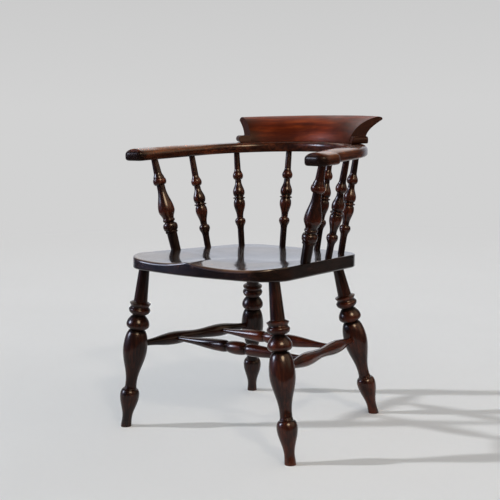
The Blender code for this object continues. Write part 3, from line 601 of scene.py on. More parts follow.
def cross_stretcher_profile(length):
    half = cut([CROSS_TENON], [(straight, TENON_END, 0.0068)])
    cone = (ease, length / 2 - BEAD_HALF - BEAD_NECK - half[-1][0], 0.0160)
    return mirrored(cut(half, [cone, (bulge, BEAD_NECK, 0.0110), (bulge, BEAD_HALF, 0.0174)]), length)


# %% Four stretchers
# Added to the hollow all along: darker above 0 and paler below
# Painted shade on the left side stretcher, and a painted sheen on the right one
SIDE_SHADE_AND_SHEEN = {"left": 0.4, "right": -0.2}
# The rear cross stretcher is painted paler, as wear and as the warm fill's light on it
CROSS_WEAR_AND_LIGHT = {"front": -0.05, "rear": -0.5}
swells = []
for hand, (start, end) in stretcher_ends.items():
    profile = side_stretcher_profile((end - start).length)
    turn(f"stretcher_side_{hand}", profile, start, end, wear_light_and_shade=lambda height: SIDE_SHADE_AND_SHEEN[hand])
    run = (end - start).normalized() * SIDE_SWELL_INSET
    swells.append((start + run, end - run))
for place, start, end in zip(CROSS_WEAR_AND_LIGHT, *swells):
    profile = cross_stretcher_profile((end - start).length)
    turn(f"stretcher_cross_{place}", profile, start, end, wear_light_and_shade=lambda height: CROSS_WEAR_AND_LIGHT[place])
print("cross stretcher length", round((end - start).length, 4))

# %% [markdown]
# ## Arm posts and spindles
#
# Two stout posts carry the hands, and six slimmer spindles carry the bow behind them. They share a rhythm
# of ring, vase and ball, and they are darker at their feet. One spindle could be copied six times, but the
# seat is lower at the back, so a spindle's plain foot grows there and each gets its own length.

# %% Post and spindle profiles
SOCKET_DEPTH = 0.018
POST_FOOT_RADIUS = 0.0128
POST_HEAD_RADIUS = 0.0088
POST_CUTS = (
    (straight, SOCKET_DEPTH, POST_FOOT_RADIUS),  # tenon and plain foot
    (straight, 0.046, 0.0136),
    (straight, 0.0015, 0.0163),  # collar
    (straight, 0.004, 0.0163),
    (straight, 0.0015, 0.0148),
    (bulge, 0.011, 0.0197),  # lower ball
    (bulge, 0.0095, 0.0140),
    (straight, 0.003, 0.0120),  # groove
    (bulge, 0.0045, 0.0163),  # ring
    (bulge, 0.0035, 0.0146),
    (ease, 0.0235, 0.0219),  # vase
    (ease, 0.058, 0.0112),
    (straight, 0.010, 0.0109),  # neck
    (bulge, 0.0095, 0.0179),  # upper ball
    (bulge, 0.0085, 0.0150),
    (ease, 0.016, 0.0106),
)
SPINDLE_FOOT_RADII = (0.0086, 0.0088)
SPINDLE_HEAD_RADIUS = 0.0081
SPINDLE_STEP = 0.004
SPINDLE_CUTS = (
    (straight, SPINDLE_STEP, 0.0094),  # top of the plain foot
    (ease, 0.017, 0.0149),  # lower ball
    (bulge, 0.0095, 0.0090),
    (straight, 0.0045, 0.0090),  # neck
    (ease, 0.035, 0.0162),  # lower half of the vase
    (bulge, 0.0115, 0.0130),
    (straight, 0.002, 0.0126),
    (straight, 0.0012, 0.0160),  # ring round its middle
    (bulge, 0.0018, 0.0168),
    (bulge, 0.0018, 0.0160),
    (straight, 0.0012, 0.0126),
    (straight, 0.002, 0.0121),
    (bulge, 0.0115, 0.0165),  # upper half of the vase
    (ease, 0.029, 0.0087),
    (straight, 0.006, 0.0085),  # neck
    (bulge, 0.0105, 0.0146),  # upper ball
    (ease, 0.0185, 0.0089),
)


def post_profile(length):
    profile = cut([(-SOCKET_DEPTH, POST_FOOT_RADIUS)], POST_CUTS)
    return tenoned(profile, length, POST_HEAD_RADIUS, SOCKET_DEPTH)


def spindle_profile(length, foot):
    lowest, top = SPINDLE_FOOT_RADII
    plain = (straight, SOCKET_DEPTH + foot - SPINDLE_STEP, top)
    profile = cut([(-SOCKET_DEPTH, lowest)], [plain, *SPINDLE_CUTS])
    return tenoned(profile, length, SPINDLE_HEAD_RADIUS, SOCKET_DEPTH)


# %% Two posts and six spindles
HAND_OUTER_X = 0.318
HAND_FRONT = 0.180
POST = {"inset": 0.0164, "y": 0.2091 - SEAT_FRONT, "from_outside": 0.0531, "from_front": 0.0707}
SPINDLES = {
    "side": {"inset": 0.0149, "from_back": 0.1778, "angle": 84.5, "bow_inset": 0.0, "foot": 0.036},
    "corner": {"inset": 0.0349, "from_back": 0.0686, "angle": 51.5, "bow_inset": 0.0, "foot": 0.050},
    "back": {"inset": 0.1362, "from_back": 0.0219, "angle": 16.7, "bow_inset": 0.0094, "foot": 0.056},
}
SPINDLE_SIDES = 32
# How much paler the crowns of posts and spindles are, as wear and as painted light on their bulges
SPINDLE_WORN_AND_LIT = 0.5
DARKER_FOOT_HEIGHT = 0.09
FOOT_DARKENING = 0.6


def darker_foot(height):
    """Posts and spindles are darker at their feet, near the seat."""
    return FOOT_DARKENING * part(height, DARKER_FOOT_HEIGHT, DARKER_FOOT_HEIGHT / 2)


for hand, side in SIDES.items():
    foot = seat_place(side, POST["inset"], POST["y"])
    head_y = BOW_CENTRE_Y - HAND_FRONT + POST["from_front"]
    head = on_bow(side * (HAND_OUTER_X - POST["from_outside"]), head_y)
    profile = post_profile((head - foot).length)
    turn(f"arm_post_{hand}", profile, foot, head, TURNED_SIDES, SPINDLE_WORN_AND_LIT, darker_foot)
    for place, spec in SPINDLES.items():
        foot = seat_place(side, spec["inset"], SEAT_BACK - spec["from_back"])
        head = round_bow(side * math.radians(spec["angle"]), spec["bow_inset"])
        profile = spindle_profile((head - foot).length, spec["foot"])
        turn(f"spindle_{place}_{hand}", profile, foot, head, SPINDLE_SIDES, SPINDLE_WORN_AND_LIT, darker_foot)
print("turned pieces:", len(turned_pieces))

# %% [markdown]
# ## Rings of points
#
# The seat and the arms are boards with shaped edges. Each is built as a stack of closed rings of points
# that all have the same count: quads join one ring to the next, and a face closes each end. That keeps
# full control of the edge's roundness, which a bevel on a finished board would not.

# %% Outline helpers
ARC_STEP = math.radians(2.5)


def round_corners(corners):
    """Outline through (x, y, radius) corners, each rounded by an arc unless its radius is 0."""
    outline = []
    for i, (x, y, radius) in enumerate(corners):
        corner = Vector((x, y))
        if not radius:
            outline.append(corner)
            continue
        back = (Vector(corners[i - 1][:2]) - corner).normalized()
        ahead = (Vector(corners[(i + 1) % len(corners)][:2]) - corner).normalized()
        half = back.angle(ahead) / 2
        centre = corner + (back + ahead).normalized() * radius / math.sin(half)
        first = corner + back * radius / math.tan(half) - centre
        last = corner + ahead * radius / math.tan(half) - centre
        sweep = -first.angle_signed(last)
        steps = max(2, round(abs(sweep) / ARC_STEP))
        for step in range(steps + 1):
            outline.append(centre + Matrix.Rotation(sweep * step / steps, 2) @ first)
    return outline


def evenly(points, count):
    """The ends of this many even steps along a line of points."""
    points = np.array([tuple(point) for point in points])
    reach = np.concatenate([[0], np.cumsum(np.linalg.norm(np.diff(points, axis=0), axis=1))])
    stops = np.linspace(0, reach[-1], count + 1)
    return np.stack([np.interp(stops, reach, points[:, k]) for k in (0, 1)], axis=1)


def left_of(ahead):
    """Unit vectors to the left of the way that an outline runs."""
    ahead = ahead / np.linalg.norm(ahead, axis=1)[:, None]
    return np.stack([-ahead[:, 1], ahead[:, 0]], axis=1)


# %% A mesh of rings, marked as wood
def ring_mesh(name, rings, wood, top_cap=None):
    """Joins rings of points, lowest first. One face closes each end, or a cap of its own the top."""
    count = len(rings[0])
    points = [tuple(point) for ring in rings for point in ring]
    faces = []
    for level in range(len(rings) - 1):
        low, high = level * count, (level + 1) * count
        faces += [(low + i, low + (i + 1) % count, high + (i + 1) % count, high + i) for i in range(count)]
    faces.append(tuple(reversed(range(count))))
    first = len(points) - count
    more, cap = top_cap(rings[-1]) if top_cap else ([], [range(count)])
    points += more
    faces += [tuple(first + i for i in face) for face in cap]
    mesh = bpy.data.meshes.new(name)
    mesh.from_pydata(points, [], faces)
    mesh.materials.append(wood)
    mesh.shade_smooth()
    return mesh


def mark_wood(mesh, grain_from, hollow):
    """Writes the two attributes: grain_from turns a piece's own points to its block of timber."""
    points = np.empty(len(mesh.vertices) * 3)
    mesh.vertices.foreach_get("co", points)
    points = points.reshape(-1, 3)
    grain = mesh.attributes.new("grain", "FLOAT_VECTOR", "POINT")
    grain.data.foreach_set("vector", np.ascontiguousarray(grain_from(points)).ravel())
    mesh.attributes.new("hollow", "FLOAT", "POINT").data.foreach_set("value", hollow(points))


def board(start):
    """The block of a board whose grain runs from front to back, started at this place in the timber."""
    return lambda points: points[:, [0, 2, 1]] + np.array(start)


# %% [markdown]
# ## Seat
#
# The seat is one elm plank. Two hollows for the thighs deepen towards the front and run out through its
# edge, a shallow bowl lies behind them, and a pommel is left between. A smooth formula for the depth at
# each point is better here than carving with Booleans, because the hollows then melt into each other.

# %% Depth of the saddle
HOLLOW_X = 0.118
HOLLOW_DEPTH = 0.0092
HOLLOW_START = -0.09
HOLLOW_END = -0.27
POMMEL_ROUND = 0.005
BOWL_Y = -0.020
BOWL_HALF_WIDTH = 0.172
BOWL_HALF_LENGTH = 0.185
BOWL_DEPTH = 0.0055
RIM_SOFTNESS = 0.12


def hollow_depth(x, y):
    """Depth of the two hollows for the thighs, which grow towards the front edge."""
    forward = part(y, HOLLOW_START, HOLLOW_END)
    across = np.clip(1 - (np.hypot(x, POMMEL_ROUND) / HOLLOW_X - 1) ** 2, 0, 1)
    return HOLLOW_DEPTH * forward**2 * (3 - 2 * forward) * across


def saddle(x, y):
    """Depth of the whole hollowing: a flat bowl that fades softly at its rim, and the two hollows."""
    inside = 1 - (x / BOWL_HALF_WIDTH) ** 2 - ((y - BOWL_Y) / BOWL_HALF_LENGTH) ** 2
    bowl = BOWL_DEPTH * (inside + np.sqrt(inside**2 + RIM_SOFTNESS**2)) / 2
    return bowl + hollow_depth(x, y)


print("saddle depth at the middle:", round(float(saddle(np.array(0.0), np.array(0.0))), 4))

# %% Plan of the seat
SEAT_FRONT_CORNER = 0.085
SEAT_BACK_CORNER = 0.078
SEAT_FRONT_RADIUS = 0.6
SEAT_POINTS = 340
outline = round_corners(
    [
        (-SEAT_FRONT_HALF_WIDTH, SEAT_FRONT_BOW - SEAT_FRONT, SEAT_FRONT_CORNER),
        (0.0, -SEAT_FRONT, SEAT_FRONT_RADIUS),
        (SEAT_FRONT_HALF_WIDTH, SEAT_FRONT_BOW - SEAT_FRONT, SEAT_FRONT_CORNER),
        (SEAT_BACK_HALF_WIDTH, SEAT_BACK, SEAT_BACK_CORNER),
        (-SEAT_BACK_HALF_WIDTH, SEAT_BACK, SEAT_BACK_CORNER),
    ]
)
plan = evenly([*outline, outline[0]], SEAT_POINTS)[:-1]
into = left_of(np.roll(plan, -1, axis=0) - np.roll(plan, 1, axis=0))
print("seat plan:", np.round(np.ptp(plan, axis=0), 3), "m")

# %% Rings of the seat
SEAT_TOP_ROUND = 0.0035
SEAT_FRONT_ROLL = 0.0045
SEAT_UNDER_ROUND = 0.004
UNDER_SHARES = (0.02, 0.5, 0.97, 1.0)
EDGE_SHARES = (0.06, 0.5, 0.94)
TOP_SHARES = (*np.linspace(0.992, 0.04, 70), 0.01)
EDGE_STEPS = 7
quarter = np.linspace(0, math.pi / 2, EDGE_STEPS)
middle = np.array([0.0, -0.04])
rings = []


def seat_ring(flat, height):
    """Adds a ring of points over this plan. height is a number or one for each point."""
    rings.append(np.column_stack([flat, np.broadcast_to(height, len(flat))]))


under = plan + into * SEAT_UNDER_ROUND
for share in UNDER_SHARES:
    seat_ring(middle + (under - middle) * share, 0.0)
for turn_by in quarter[1:]:
    inset = SEAT_UNDER_ROUND * (1 - math.sin(turn_by))
    seat_ring(plan + into * inset, SEAT_UNDER_ROUND * (1 - math.cos(turn_by)))
# The top edge rolls over more where a hollow runs out through the front
roll = SEAT_TOP_ROUND + SEAT_FRONT_ROLL * hollow_depth(*plan.T) / HOLLOW_DEPTH
shoulder = SEAT_THICKNESS - saddle(*plan.T) - roll
for share in EDGE_SHARES:
    seat_ring(plan, SEAT_UNDER_ROUND + (shoulder - SEAT_UNDER_ROUND) * share)
for turn_by in quarter:
    flat = plan + into * (roll * (1 - math.cos(turn_by)))[:, None]
    seat_ring(flat, SEAT_THICKNESS - saddle(*flat.T) - roll * (1 - math.sin(turn_by)))
rim = plan + into * roll[:, None]
for share in TOP_SHARES:
    flat = middle + (rim - middle) * share
    seat_ring(flat, SEAT_THICKNESS - saddle(*flat.T))
print("seat rings:", len(rings))

# %% The seat, its wear and a painted sheen
SEAT_BLOCK = (0.4, 0.9, 0.2)
# The front roll is painted paler, as worn wood and as the key lamp's sheen on it
WORN_SHEEN_DEPTH = 0.007
WORN_SHEEN_START = -0.23
WORN_SHEEN_FULL = -0.28
WORN_SHEEN_LEFT = 0.35
POMMEL_HALF_WIDTH = 0.03


def seat_wear_and_sheen(points):
    """Legs rub the rolled front edge over the hollows down to brown, and the key lamp's sheen on it is painted
    in the same paler tone, over the right hollow more than the left.
    """
    x, y, height = points.T
    below_top = SEAT_THICKNESS - saddle(x, y) - height
    on_roll = part(below_top, WORN_SHEEN_DEPTH, 0) * part(y, WORN_SHEEN_START, WORN_SHEEN_FULL)
    to_right = WORN_SHEEN_LEFT + (1 - WORN_SHEEN_LEFT) * part(x, -POMMEL_HALF_WIDTH, POMMEL_HALF_WIDTH)
    return -on_roll * to_right * hollow_depth(x, y) / HOLLOW_DEPTH


mesh = ring_mesh("seat", rings, seat_elm)
mark_wood(mesh, board(SEAT_BLOCK), seat_wear_and_sheen)
mesh.transform(seat_frame)
finish_piece("seat_saddled", mesh, "seat_wood", "seat")

# %% [markdown]
# ## Arms
#
# Each arm is sawn from a thick board: a quarter ring at the back, a flared run forward and a hand that
# swells out past a notch. Its top is crowned towards the hand by a spokeshave. The two arms meet at the
# middle of the back with a plain butt. A bevel would round that butt as well, so the arm is built of rings
# that stay straight across there, and a cap of rungs gives its top the crown.

# %% Arm outline
BOW_WIDTH = 0.055
BOW_THICKNESS = 0.0275
ARM_FLARE = math.radians(8.0)
ARM_GAP = 0.00015
BACK_POINTS = 60
SIDE_POINTS = 180
NOTCH_FORWARD = 0.098
NOTCH_ROUND = 0.010
# The hand's corners in front of the notch, each with its rounding
HAND_CORNERS = (
    (HAND_OUTER_X, -NOTCH_FORWARD - 0.011, 0.014),
    (HAND_OUTER_X, -HAND_FRONT, 0.024),
    (0.254, -0.174, 0.016),
)
HAND_MIDDLE_Y = -0.15
FRONT_STEP = 0.01


def arm_outline():
    """Plan of the right arm about the bow's centre, from its butt's outer corner round to the inner one."""
    outer, inner = BOW_RADIUS + BOW_WIDTH / 2, BOW_RADIUS - BOW_WIDTH / 2
    turns = np.linspace(0, math.pi / 2 - ARM_FLARE, BACK_POINTS)[1:]
    back = [about(outer, turn_by) for turn_by in turns]
    inside = [about(inner, turn_by) for turn_by in reversed(turns)]
    notch_x = back[-1][0] + (NOTCH_FORWARD + back[-1][1]) * math.tan(ARM_FLARE)
    corners = [(*back[-1], 0.0), (notch_x, -NOTCH_FORWARD, NOTCH_ROUND), *HAND_CORNERS, (*inside[0], 0.0)]
    hand = [tuple(point) for point in round_corners(corners) if point.y < 0]
    # The long step across the front of the hand parts the outside from the inside
    fronts = [i for i in range(len(hand) - 1) if hand[i][1] < HAND_MIDDLE_Y]
    front = next(i for i in fronts if hand[i + 1][0] < hand[i][0] - FRONT_STEP)
    middle = tuple((np.array(hand[front]) + np.array(hand[front + 1])) / 2)
    outside = [(ARM_GAP, outer), *back, *hand[: front + 1], middle]
    inside = [middle, *hand[front + 1 :], *inside, (ARM_GAP, inner)]
    return np.vstack([evenly(outside, SIDE_POINTS)[:-1], evenly(inside, SIDE_POINTS)])


edge = arm_outline()
print("arm outline:", len(edge), "points")

# %% Rings of an arm
ARM_TOP_ROUND = 0.0128
ARM_UNDER_ROUND = 0.007
UNDER_INSET = 0.002
UNDER_STEPS = 8
TOP_STEPS = 9
BUTT_POINTS = 19
CROWN_LOW = 0.002
CROWN_HIGH = 0.004
CROWN_START = 0.12
CROWN_FULL = -0.06


def arm_ring(edge, inset, height):
    """The outline pulled in by inset, with the butt kept straight across."""
    flat = edge - np.broadcast_to(inset, len(edge))[:, None] * left_of(np.gradient(edge, axis=0))
    flat[[0, -1], 0] = ARM_GAP
    ring = np.column_stack([flat, np.broadcast_to(height, len(edge))])
    return np.vstack([ring, np.linspace(ring[-1], ring[0], BUTT_POINTS + 2)[1:-1]])


def crown(y):
    """How much of the crown an arm has here: none under the crest and all at the hand."""
    share = part(y, CROWN_START, CROWN_FULL)
    return share * share * (3 - 2 * share)


def arm_rings(edge):
    """From the underside up to the rim, where the rounding leans to meet the slope of the crown."""
    rings = [arm_ring(edge, ARM_UNDER_ROUND + UNDER_INSET, 0.0)]
    for turn_by in np.linspace(0, math.pi / 2, UNDER_STEPS):
        inset = ARM_UNDER_ROUND * (1 - math.sin(turn_by))
        rings.append(arm_ring(edge, inset, ARM_UNDER_ROUND * (1 - math.cos(turn_by))))
    rim = BOW_THICKNESS - CROWN_LOW * crown(edge[:, 1])
    steep = np.arctan(4 * (CROWN_LOW + CROWN_HIGH) * crown(edge[:, 1]) / (BOW_WIDTH - ARM_TOP_ROUND))
    for share in np.linspace(0, 1, TOP_STEPS):
        turn_by = (math.pi / 2 - steep) * share
        height = rim - ARM_TOP_ROUND * (np.cos(steep) - np.sin(turn_by))
        rings.append(arm_ring(edge, ARM_TOP_ROUND * (1 - np.cos(turn_by)), height))
    return rings


print("arm rings:", len(arm_rings(edge)))

# %% Crowned top of an arm
TIP_ROWS = 9


def crowned_top(ring):
    """Rungs across the arm that rise in their middle, and rows from the last rung to the hand's end."""
    last = len(ring) - BUTT_POINTS - 1
    across = np.linspace(0, 1, BUTT_POINTS + 2)[1:-1, None]
    swell = 1 - (2 * across[:, 0] - 1) ** 2
    lines = []
    for i in range(1, (last - BUTT_POINTS - 1) // 2 + 1):
        rung = ring[i] + (ring[last - i] - ring[i]) * across
        full = BOW_THICKNESS + CROWN_HIGH * crown(rung[:, 1])
        rung[:, 2] += (full - rung[:, 2]) * swell
        lines.append((i, rung))
    tip = ring[i + 1 : last - i]
    for share in np.linspace(0, 1, TIP_ROWS)[1:-1]:
        patch = rung + (tip - rung) * share
        patch[:, 2] = rung[:, 2] + (tip[:, 2] - rung[:, 2]) * share**2
        lines.append((i, patch))
    rows = [[0, *range(len(ring) - 1, last, -1), last]]
    for number, (i, _) in enumerate(lines):
        first = len(ring) + number * BUTT_POINTS
        rows.append([i, *range(first, first + BUTT_POINTS), last - i])
    rows.append(list(range(i, last - i + 1)))
    faces = []
    for row, following in zip(rows, rows[1:]):
        for j in range(len(row) - 1):
            corners = (row[j], row[j + 1], following[j + 1], following[j])
            faces.append(tuple(dict.fromkeys(corners)))
    return [tuple(point) for _, line in lines for point in line], faces


# %% Both arms, their wear and painted light
ARM_BLOCKS = {"left": (-0.7, 0.3, 0.1), "right": (0.7, 0.3, 0.1)}
DARKER_FRONT_START = -0.150
DARKER_FRONT_FULL = -0.170
DARKER_BACK = 0.25
DARKER_BACK_START = 0.06
DARKER_BACK_FULL = 0.16
WORN_AND_LIT_BACK = 0.05
SHARP_EDGE = math.radians(40)


def arm_wear_light_and_shade(points):
    """Sleeves rub the tops paler, most of all towards the hands, and the upper edges are painted lighter where
    light falls on them. The fronts of the hands and the back of the bow are darker.
    """
    y = points[:, 1]
    up = part(points[:, 2], BOW_THICKNESS - ARM_TOP_ROUND, BOW_THICKNESS)
    forward = part(y, BOW_RADIUS, -HAND_FRONT)
    front = part(y, DARKER_FRONT_START, DARKER_FRONT_FULL)
    darkening = DARKER_BACK * part(y, DARKER_BACK_START, DARKER_BACK_FULL)
    worn_and_lit = (1 - front) * up**1.5 * (WORN_AND_LIT_BACK + (1 - WORN_AND_LIT_BACK) * forward)
    return front * (1 - up**3) + darkening - worn_and_lit


for hand, side in SIDES.items():
    mesh = ring_mesh("arm_" + hand, arm_rings(edge), bow_elm, crowned_top)
    mark_wood(mesh, board(ARM_BLOCKS[hand]), arm_wear_light_and_shade)
    mesh.transform(bow_frame @ Matrix.Diagonal((side, 1, 1, 1)))
    face_outwards(mesh)
    mesh.set_sharp_from_angle(angle=SHARP_EDGE)
    finish_piece(f"arm_{hand}_shaped", mesh, "bow_wood", "arm_" + hand)

# %% [markdown]
# ## Crest
#
# The crest is sawn and shaped from one thick block that follows the bow: a low plinth with bullnosed ends,
# and above it a scroll with a hollow face that rolls over backwards to a blunt nose. The saw leaned at the
# scroll's ends, and the end grain there took more stain. A curve with a bevel object could sweep such a
# section, but it would cut every end square. So the sections are placed in code, each point with its own
# angle round the bow, and the plinth and the scroll are joined by a Boolean.

# %% Section of the scroll
CREST_MIDDLE = BOW_RADIUS + 0.0095
CREST_INNER = CREST_MIDDLE - 0.021
CREST_OUTER = CREST_INNER + 0.044
CREST_TIP = CREST_INNER + 0.0865
CREST_HEIGHT = 0.068
CREST_GAP = 0.0003
PLINTH_HEIGHT = 0.0185
LIP_NOSE = 0.0095
LIP_LENGTH = 0.010
NOSE_TUCK = 0.004
NOSE_EASED = 0.001
# What pulls the curves of the face and of the back, out from their feet
FACE_PULLS = ((0.004, 0.028), (0.030, 0.060))
BACK_PULL = (0.004, 0.018)
# The scroll's back and its heel inside the plinth
BACK_INSET = 0.0008
HEEL = (0.012, 0.008)
HEEL_FOOT = 0.004
FACE_POINTS = 40
NOSE_POINTS = 9
REAR_POINTS = 28


def curve(points, count):
    """A Bezier curve through the first and last point, pulled by those between."""
    share = np.linspace(0, 1, count)[:, None]
    points = [np.array(point) * np.ones((count, 1)) for point in points]
    while len(points) > 1:
        points = [a + (b - a) * share for a, b in zip(points, points[1:])]
    return points[0]


def scroll_section():
    """From the foot of the hollow face up over the lip and down the back, as (radius, height)."""
    over = (CREST_TIP - LIP_LENGTH, CREST_HEIGHT)
    tip = (CREST_TIP, CREST_HEIGHT - LIP_NOSE / 2)
    below = (CREST_TIP - NOSE_TUCK, CREST_HEIGHT - LIP_NOSE)
    rear = (CREST_OUTER - BACK_INSET, PLINTH_HEIGHT)
    heel = (CREST_OUTER - HEEL[0], PLINTH_HEIGHT - HEEL[1])
    pulls = [(CREST_INNER + out, height) for out, height in FACE_PULLS]
    face = curve([(CREST_INNER, CREST_GAP), *pulls, over], FACE_POINTS)
    lip = curve([over, (CREST_TIP - NOSE_EASED, CREST_HEIGHT), tip], NOSE_POINTS)
    curl = curve([tip, (CREST_TIP, CREST_HEIGHT - LIP_NOSE + NOSE_EASED), below], NOSE_POINTS)
    back = curve([below, (rear[0] + BACK_PULL[0], rear[1] + BACK_PULL[1]), rear], REAR_POINTS)
    return np.vstack([face, lip[1:], curl[1:], back[1:], [heel, (heel[0], CREST_GAP + HEEL_FOOT)]])


section = scroll_section()
print("scroll section:", len(section), "points")

# %% Sweep the scroll
SCROLL_FOOT_ANGLE = math.radians(42.3)
SCROLL_TIP_ANGLE = math.radians(46.0)
# The saw leans: the end is less far round at the top of the face, and further at the back of nose and foot
SAW_LEAN = np.radians([0.0, -0.6, 0.6, 1.1])
END_EDGE = 0.002
SCROLL_STATIONS = 90


def sweep(name, sections, angles):
    """Joins (radius, height) sections that stand at these angles round the bow."""
    rings = []
    for (radius, height), angle in zip((section.T for section in sections), angles):
        rings.append(np.column_stack([*about(radius, angle), height]))
    mesh = ring_mesh(name, rings, crest_elm)
    face_outwards(mesh)
    return put(name, mesh)


flare = (section[:, 0] - CREST_INNER) / (CREST_TIP - CREST_INNER)
leans_at = [0, FACE_POINTS - 1, FACE_POINTS + 2 * NOSE_POINTS - 3, len(section) - 1]
end_angles = SCROLL_FOOT_ANGLE + (SCROLL_TIP_ANGLE - SCROLL_FOOT_ANGLE) * flare
end_angles += np.interp(np.arange(len(section)), leans_at, SAW_LEAN)
shares = [-1, END_EDGE - 1, *np.linspace(-1, 1, SCROLL_STATIONS)[1:-1], 1 - END_EDGE, 1]
scroll = sweep("scroll", [section] * len(shares), [end_angles * share for share in shares])
print("scroll stations:", len(shares))

# %% Sweep the plinth and join the two
PLINTH_ANGLE = math.radians(50.0)
PLINTH_END_ROUND = 0.008
PLINTH_END_STEPS = 8
PLINTH_STATIONS = 70
PLINTH_EASED = 0.0015
# How far the plinth's face stands back from the scroll's at its foot and at its top
PLINTH_SET_BACK = (0.0004, 0.0065)


def plinth_section(height_cut):
    """A slim bar with eased edges, lowered and raised by height_cut towards its bullnosed ends."""
    low, high = CREST_GAP + height_cut, PLINTH_HEIGHT - height_cut
    eased = min(PLINTH_EASED, (high - low) / 3)
    face = [(CREST_INNER + PLINTH_SET_BACK[1], high, eased)]
    foot = [(CREST_INNER + PLINTH_SET_BACK[0], low, eased)]
    back = [(CREST_OUTER, low, eased), (CREST_OUTER, high, eased)]
    return np.array([tuple(point) for point in round_corners(foot + back + face)])


reach = PLINTH_END_ROUND / BOW_RADIUS
straight_end = PLINTH_ANGLE - reach
ends = []
for turn_by in np.linspace(0, math.pi / 2, PLINTH_END_STEPS)[1:]:
    ends.append((straight_end + reach * math.sin(turn_by), PLINTH_END_ROUND * (1 - math.cos(turn_by))))
stations = [(-angle, height_cut) for angle, height_cut in reversed(ends)]
stations += [(angle, 0.0) for angle in np.linspace(-straight_end, straight_end, PLINTH_STATIONS)] + ends
sections = [plinth_section(height_cut) for _, height_cut in stations]
plinth = sweep("plinth", sections, [angle for angle, _ in stations])
joined = plinth.modifiers.new("join", "BOOLEAN")
joined.operation = "UNION"
joined.solver = "EXACT"
joined.object = scroll
mesh = evaluated(plinth)
mesh.name = "crest"
bpy.data.objects.remove(scroll)
print("plinth stations:", len(stations))

# %% Age the crest and paint shade on its foot
CREST_BLOCK = (0.6, 0.4, 0.8)
LIP_DEPTH = 0.008
LIP_RUBBED = 0.8
# Painted shade on the crest's foot reaches up to this height
FOOT_HEIGHT = 0.035
FOOT_SHADE = 0.3
# Angles round the bow and how much darker the crest is there
DARKER_AT = (-0.75, -0.5, 0.1, 0.45, 0.75)
DARKER_BY = (0.75, 0.1, 0.0, 0.4, 0.5)


def reach_and_angle(points):
    return np.hypot(points[:, 0], points[:, 1]), np.arctan2(points[:, 0], points[:, 1])


def crest_timber(points):
    """The crest's grain runs round the bow, as a board sawn to the curve shows it."""
    radius, angle = reach_and_angle(points)
    return np.column_stack([radius, points[:, 2], angle * BOW_RADIUS]) + np.array(CREST_BLOCK)


def crest_wear_and_shade(points):
    """The crest is darker towards both ends and right of the middle, painted shade darkens its foot, hands have
    rubbed the lip, and end grain took more stain.
    """
    radius, angle = reach_and_angle(points)
    away = np.hypot(radius[:, None] - section[:, 0], points[:, 2:] - section[:, 1])
    end_grain = abs(angle) > end_angles[away.argmin(axis=1)] * (1 - END_EDGE / 2)
    darkening = np.interp(angle, DARKER_AT, DARKER_BY)
    foot = part(points[:, 2], FOOT_HEIGHT, 0)
    lip = part(points[:, 2], CREST_HEIGHT - LIP_DEPTH, CREST_HEIGHT)
    return np.maximum(darkening + FOOT_SHADE * foot - LIP_RUBBED * lip, end_grain)


mark_wood(mesh, crest_timber, crest_wear_and_shade)
mesh.transform(bow_frame @ Matrix.Translation((0, 0, BOW_THICKNESS)))
mesh.shade_smooth()
mesh.set_sharp_from_angle(angle=SHARP_EDGE)
finish_piece("crest_shaped", mesh, "crest_wood", "crest")

# %% [markdown]
# ## Screws under the crest
#
# Four countersunk screws come up through the arms and hold the crest down. They are steel with a
# sawn slot, dulled by age. Each could be modelled in its place, but they repeat, so a tree puts one slotted
# screw on four points. A metal keeps the default index of refraction, and only its roughness varies.

# %% Steel of an old wood screw
GRIT_MM = 1.1
STEEL_ROUGHNESS = {"To Min": 0.25, "To Max": 0.55}
# Filed steel gone grey: a dull gleam, broken up by specks of tarnish
worn_steel, tree, shader = new_material("worn_steel")
place = add(tree, "ShaderNodeTexCoord").outputs["Object"]
grit = add(tree, "ShaderNodeTexNoise", {"Vector": place, "Scale": 1000 / GRIT_MM, "Detail": 4.0})
tone = add(tree, "ShaderNodeValToRGB", {"Fac": grit})
tone.color_ramp.elements[0].color = linear("#5f5a54")
tone.color_ramp.elements[1].color = linear("#b3b0aa")
rough = add(tree, "ShaderNodeMapRange", {"Value": grit, **STEEL_ROUGHNESS})
plug(shader, {"Base Color": tone, "Roughness": rough, "Metallic": 1.0})
print("steel nodes:", len(tree.nodes))

# %% One slotted screw
SCREW_SIDES = 24
SCREW_PROFILE = ((0.0, 0.0046), (0.0003, 0.0048), (0.0035, 0.0024), (0.041, 0.0023), (0.046, 0.0003))
SLOT_SIZE = (0.012, 0.0011, 0.0026)
rounds = np.linspace(0, 2 * math.pi, SCREW_SIDES, endpoint=False)
circle = np.column_stack([np.cos(rounds), np.sin(rounds), np.ones(SCREW_SIDES)])
rings = [circle * (radius, radius, height) for height, radius in SCREW_PROFILE]
screw = put("screw", ring_mesh("screw", rings, None))
slot_mesh = bpy.data.meshes.new("slot")
block = bmesh.new()
bmesh.ops.create_cube(block, size=1.0, matrix=Matrix.Diagonal((*SLOT_SIZE, 1.0)))
block.to_mesh(slot_mesh)
block.free()
slot_cutter = put("slot", slot_mesh)
screw.modifiers.new("slot", "BOOLEAN").object = slot_cutter
print("screw of", SCREW_SIDES, "sides")

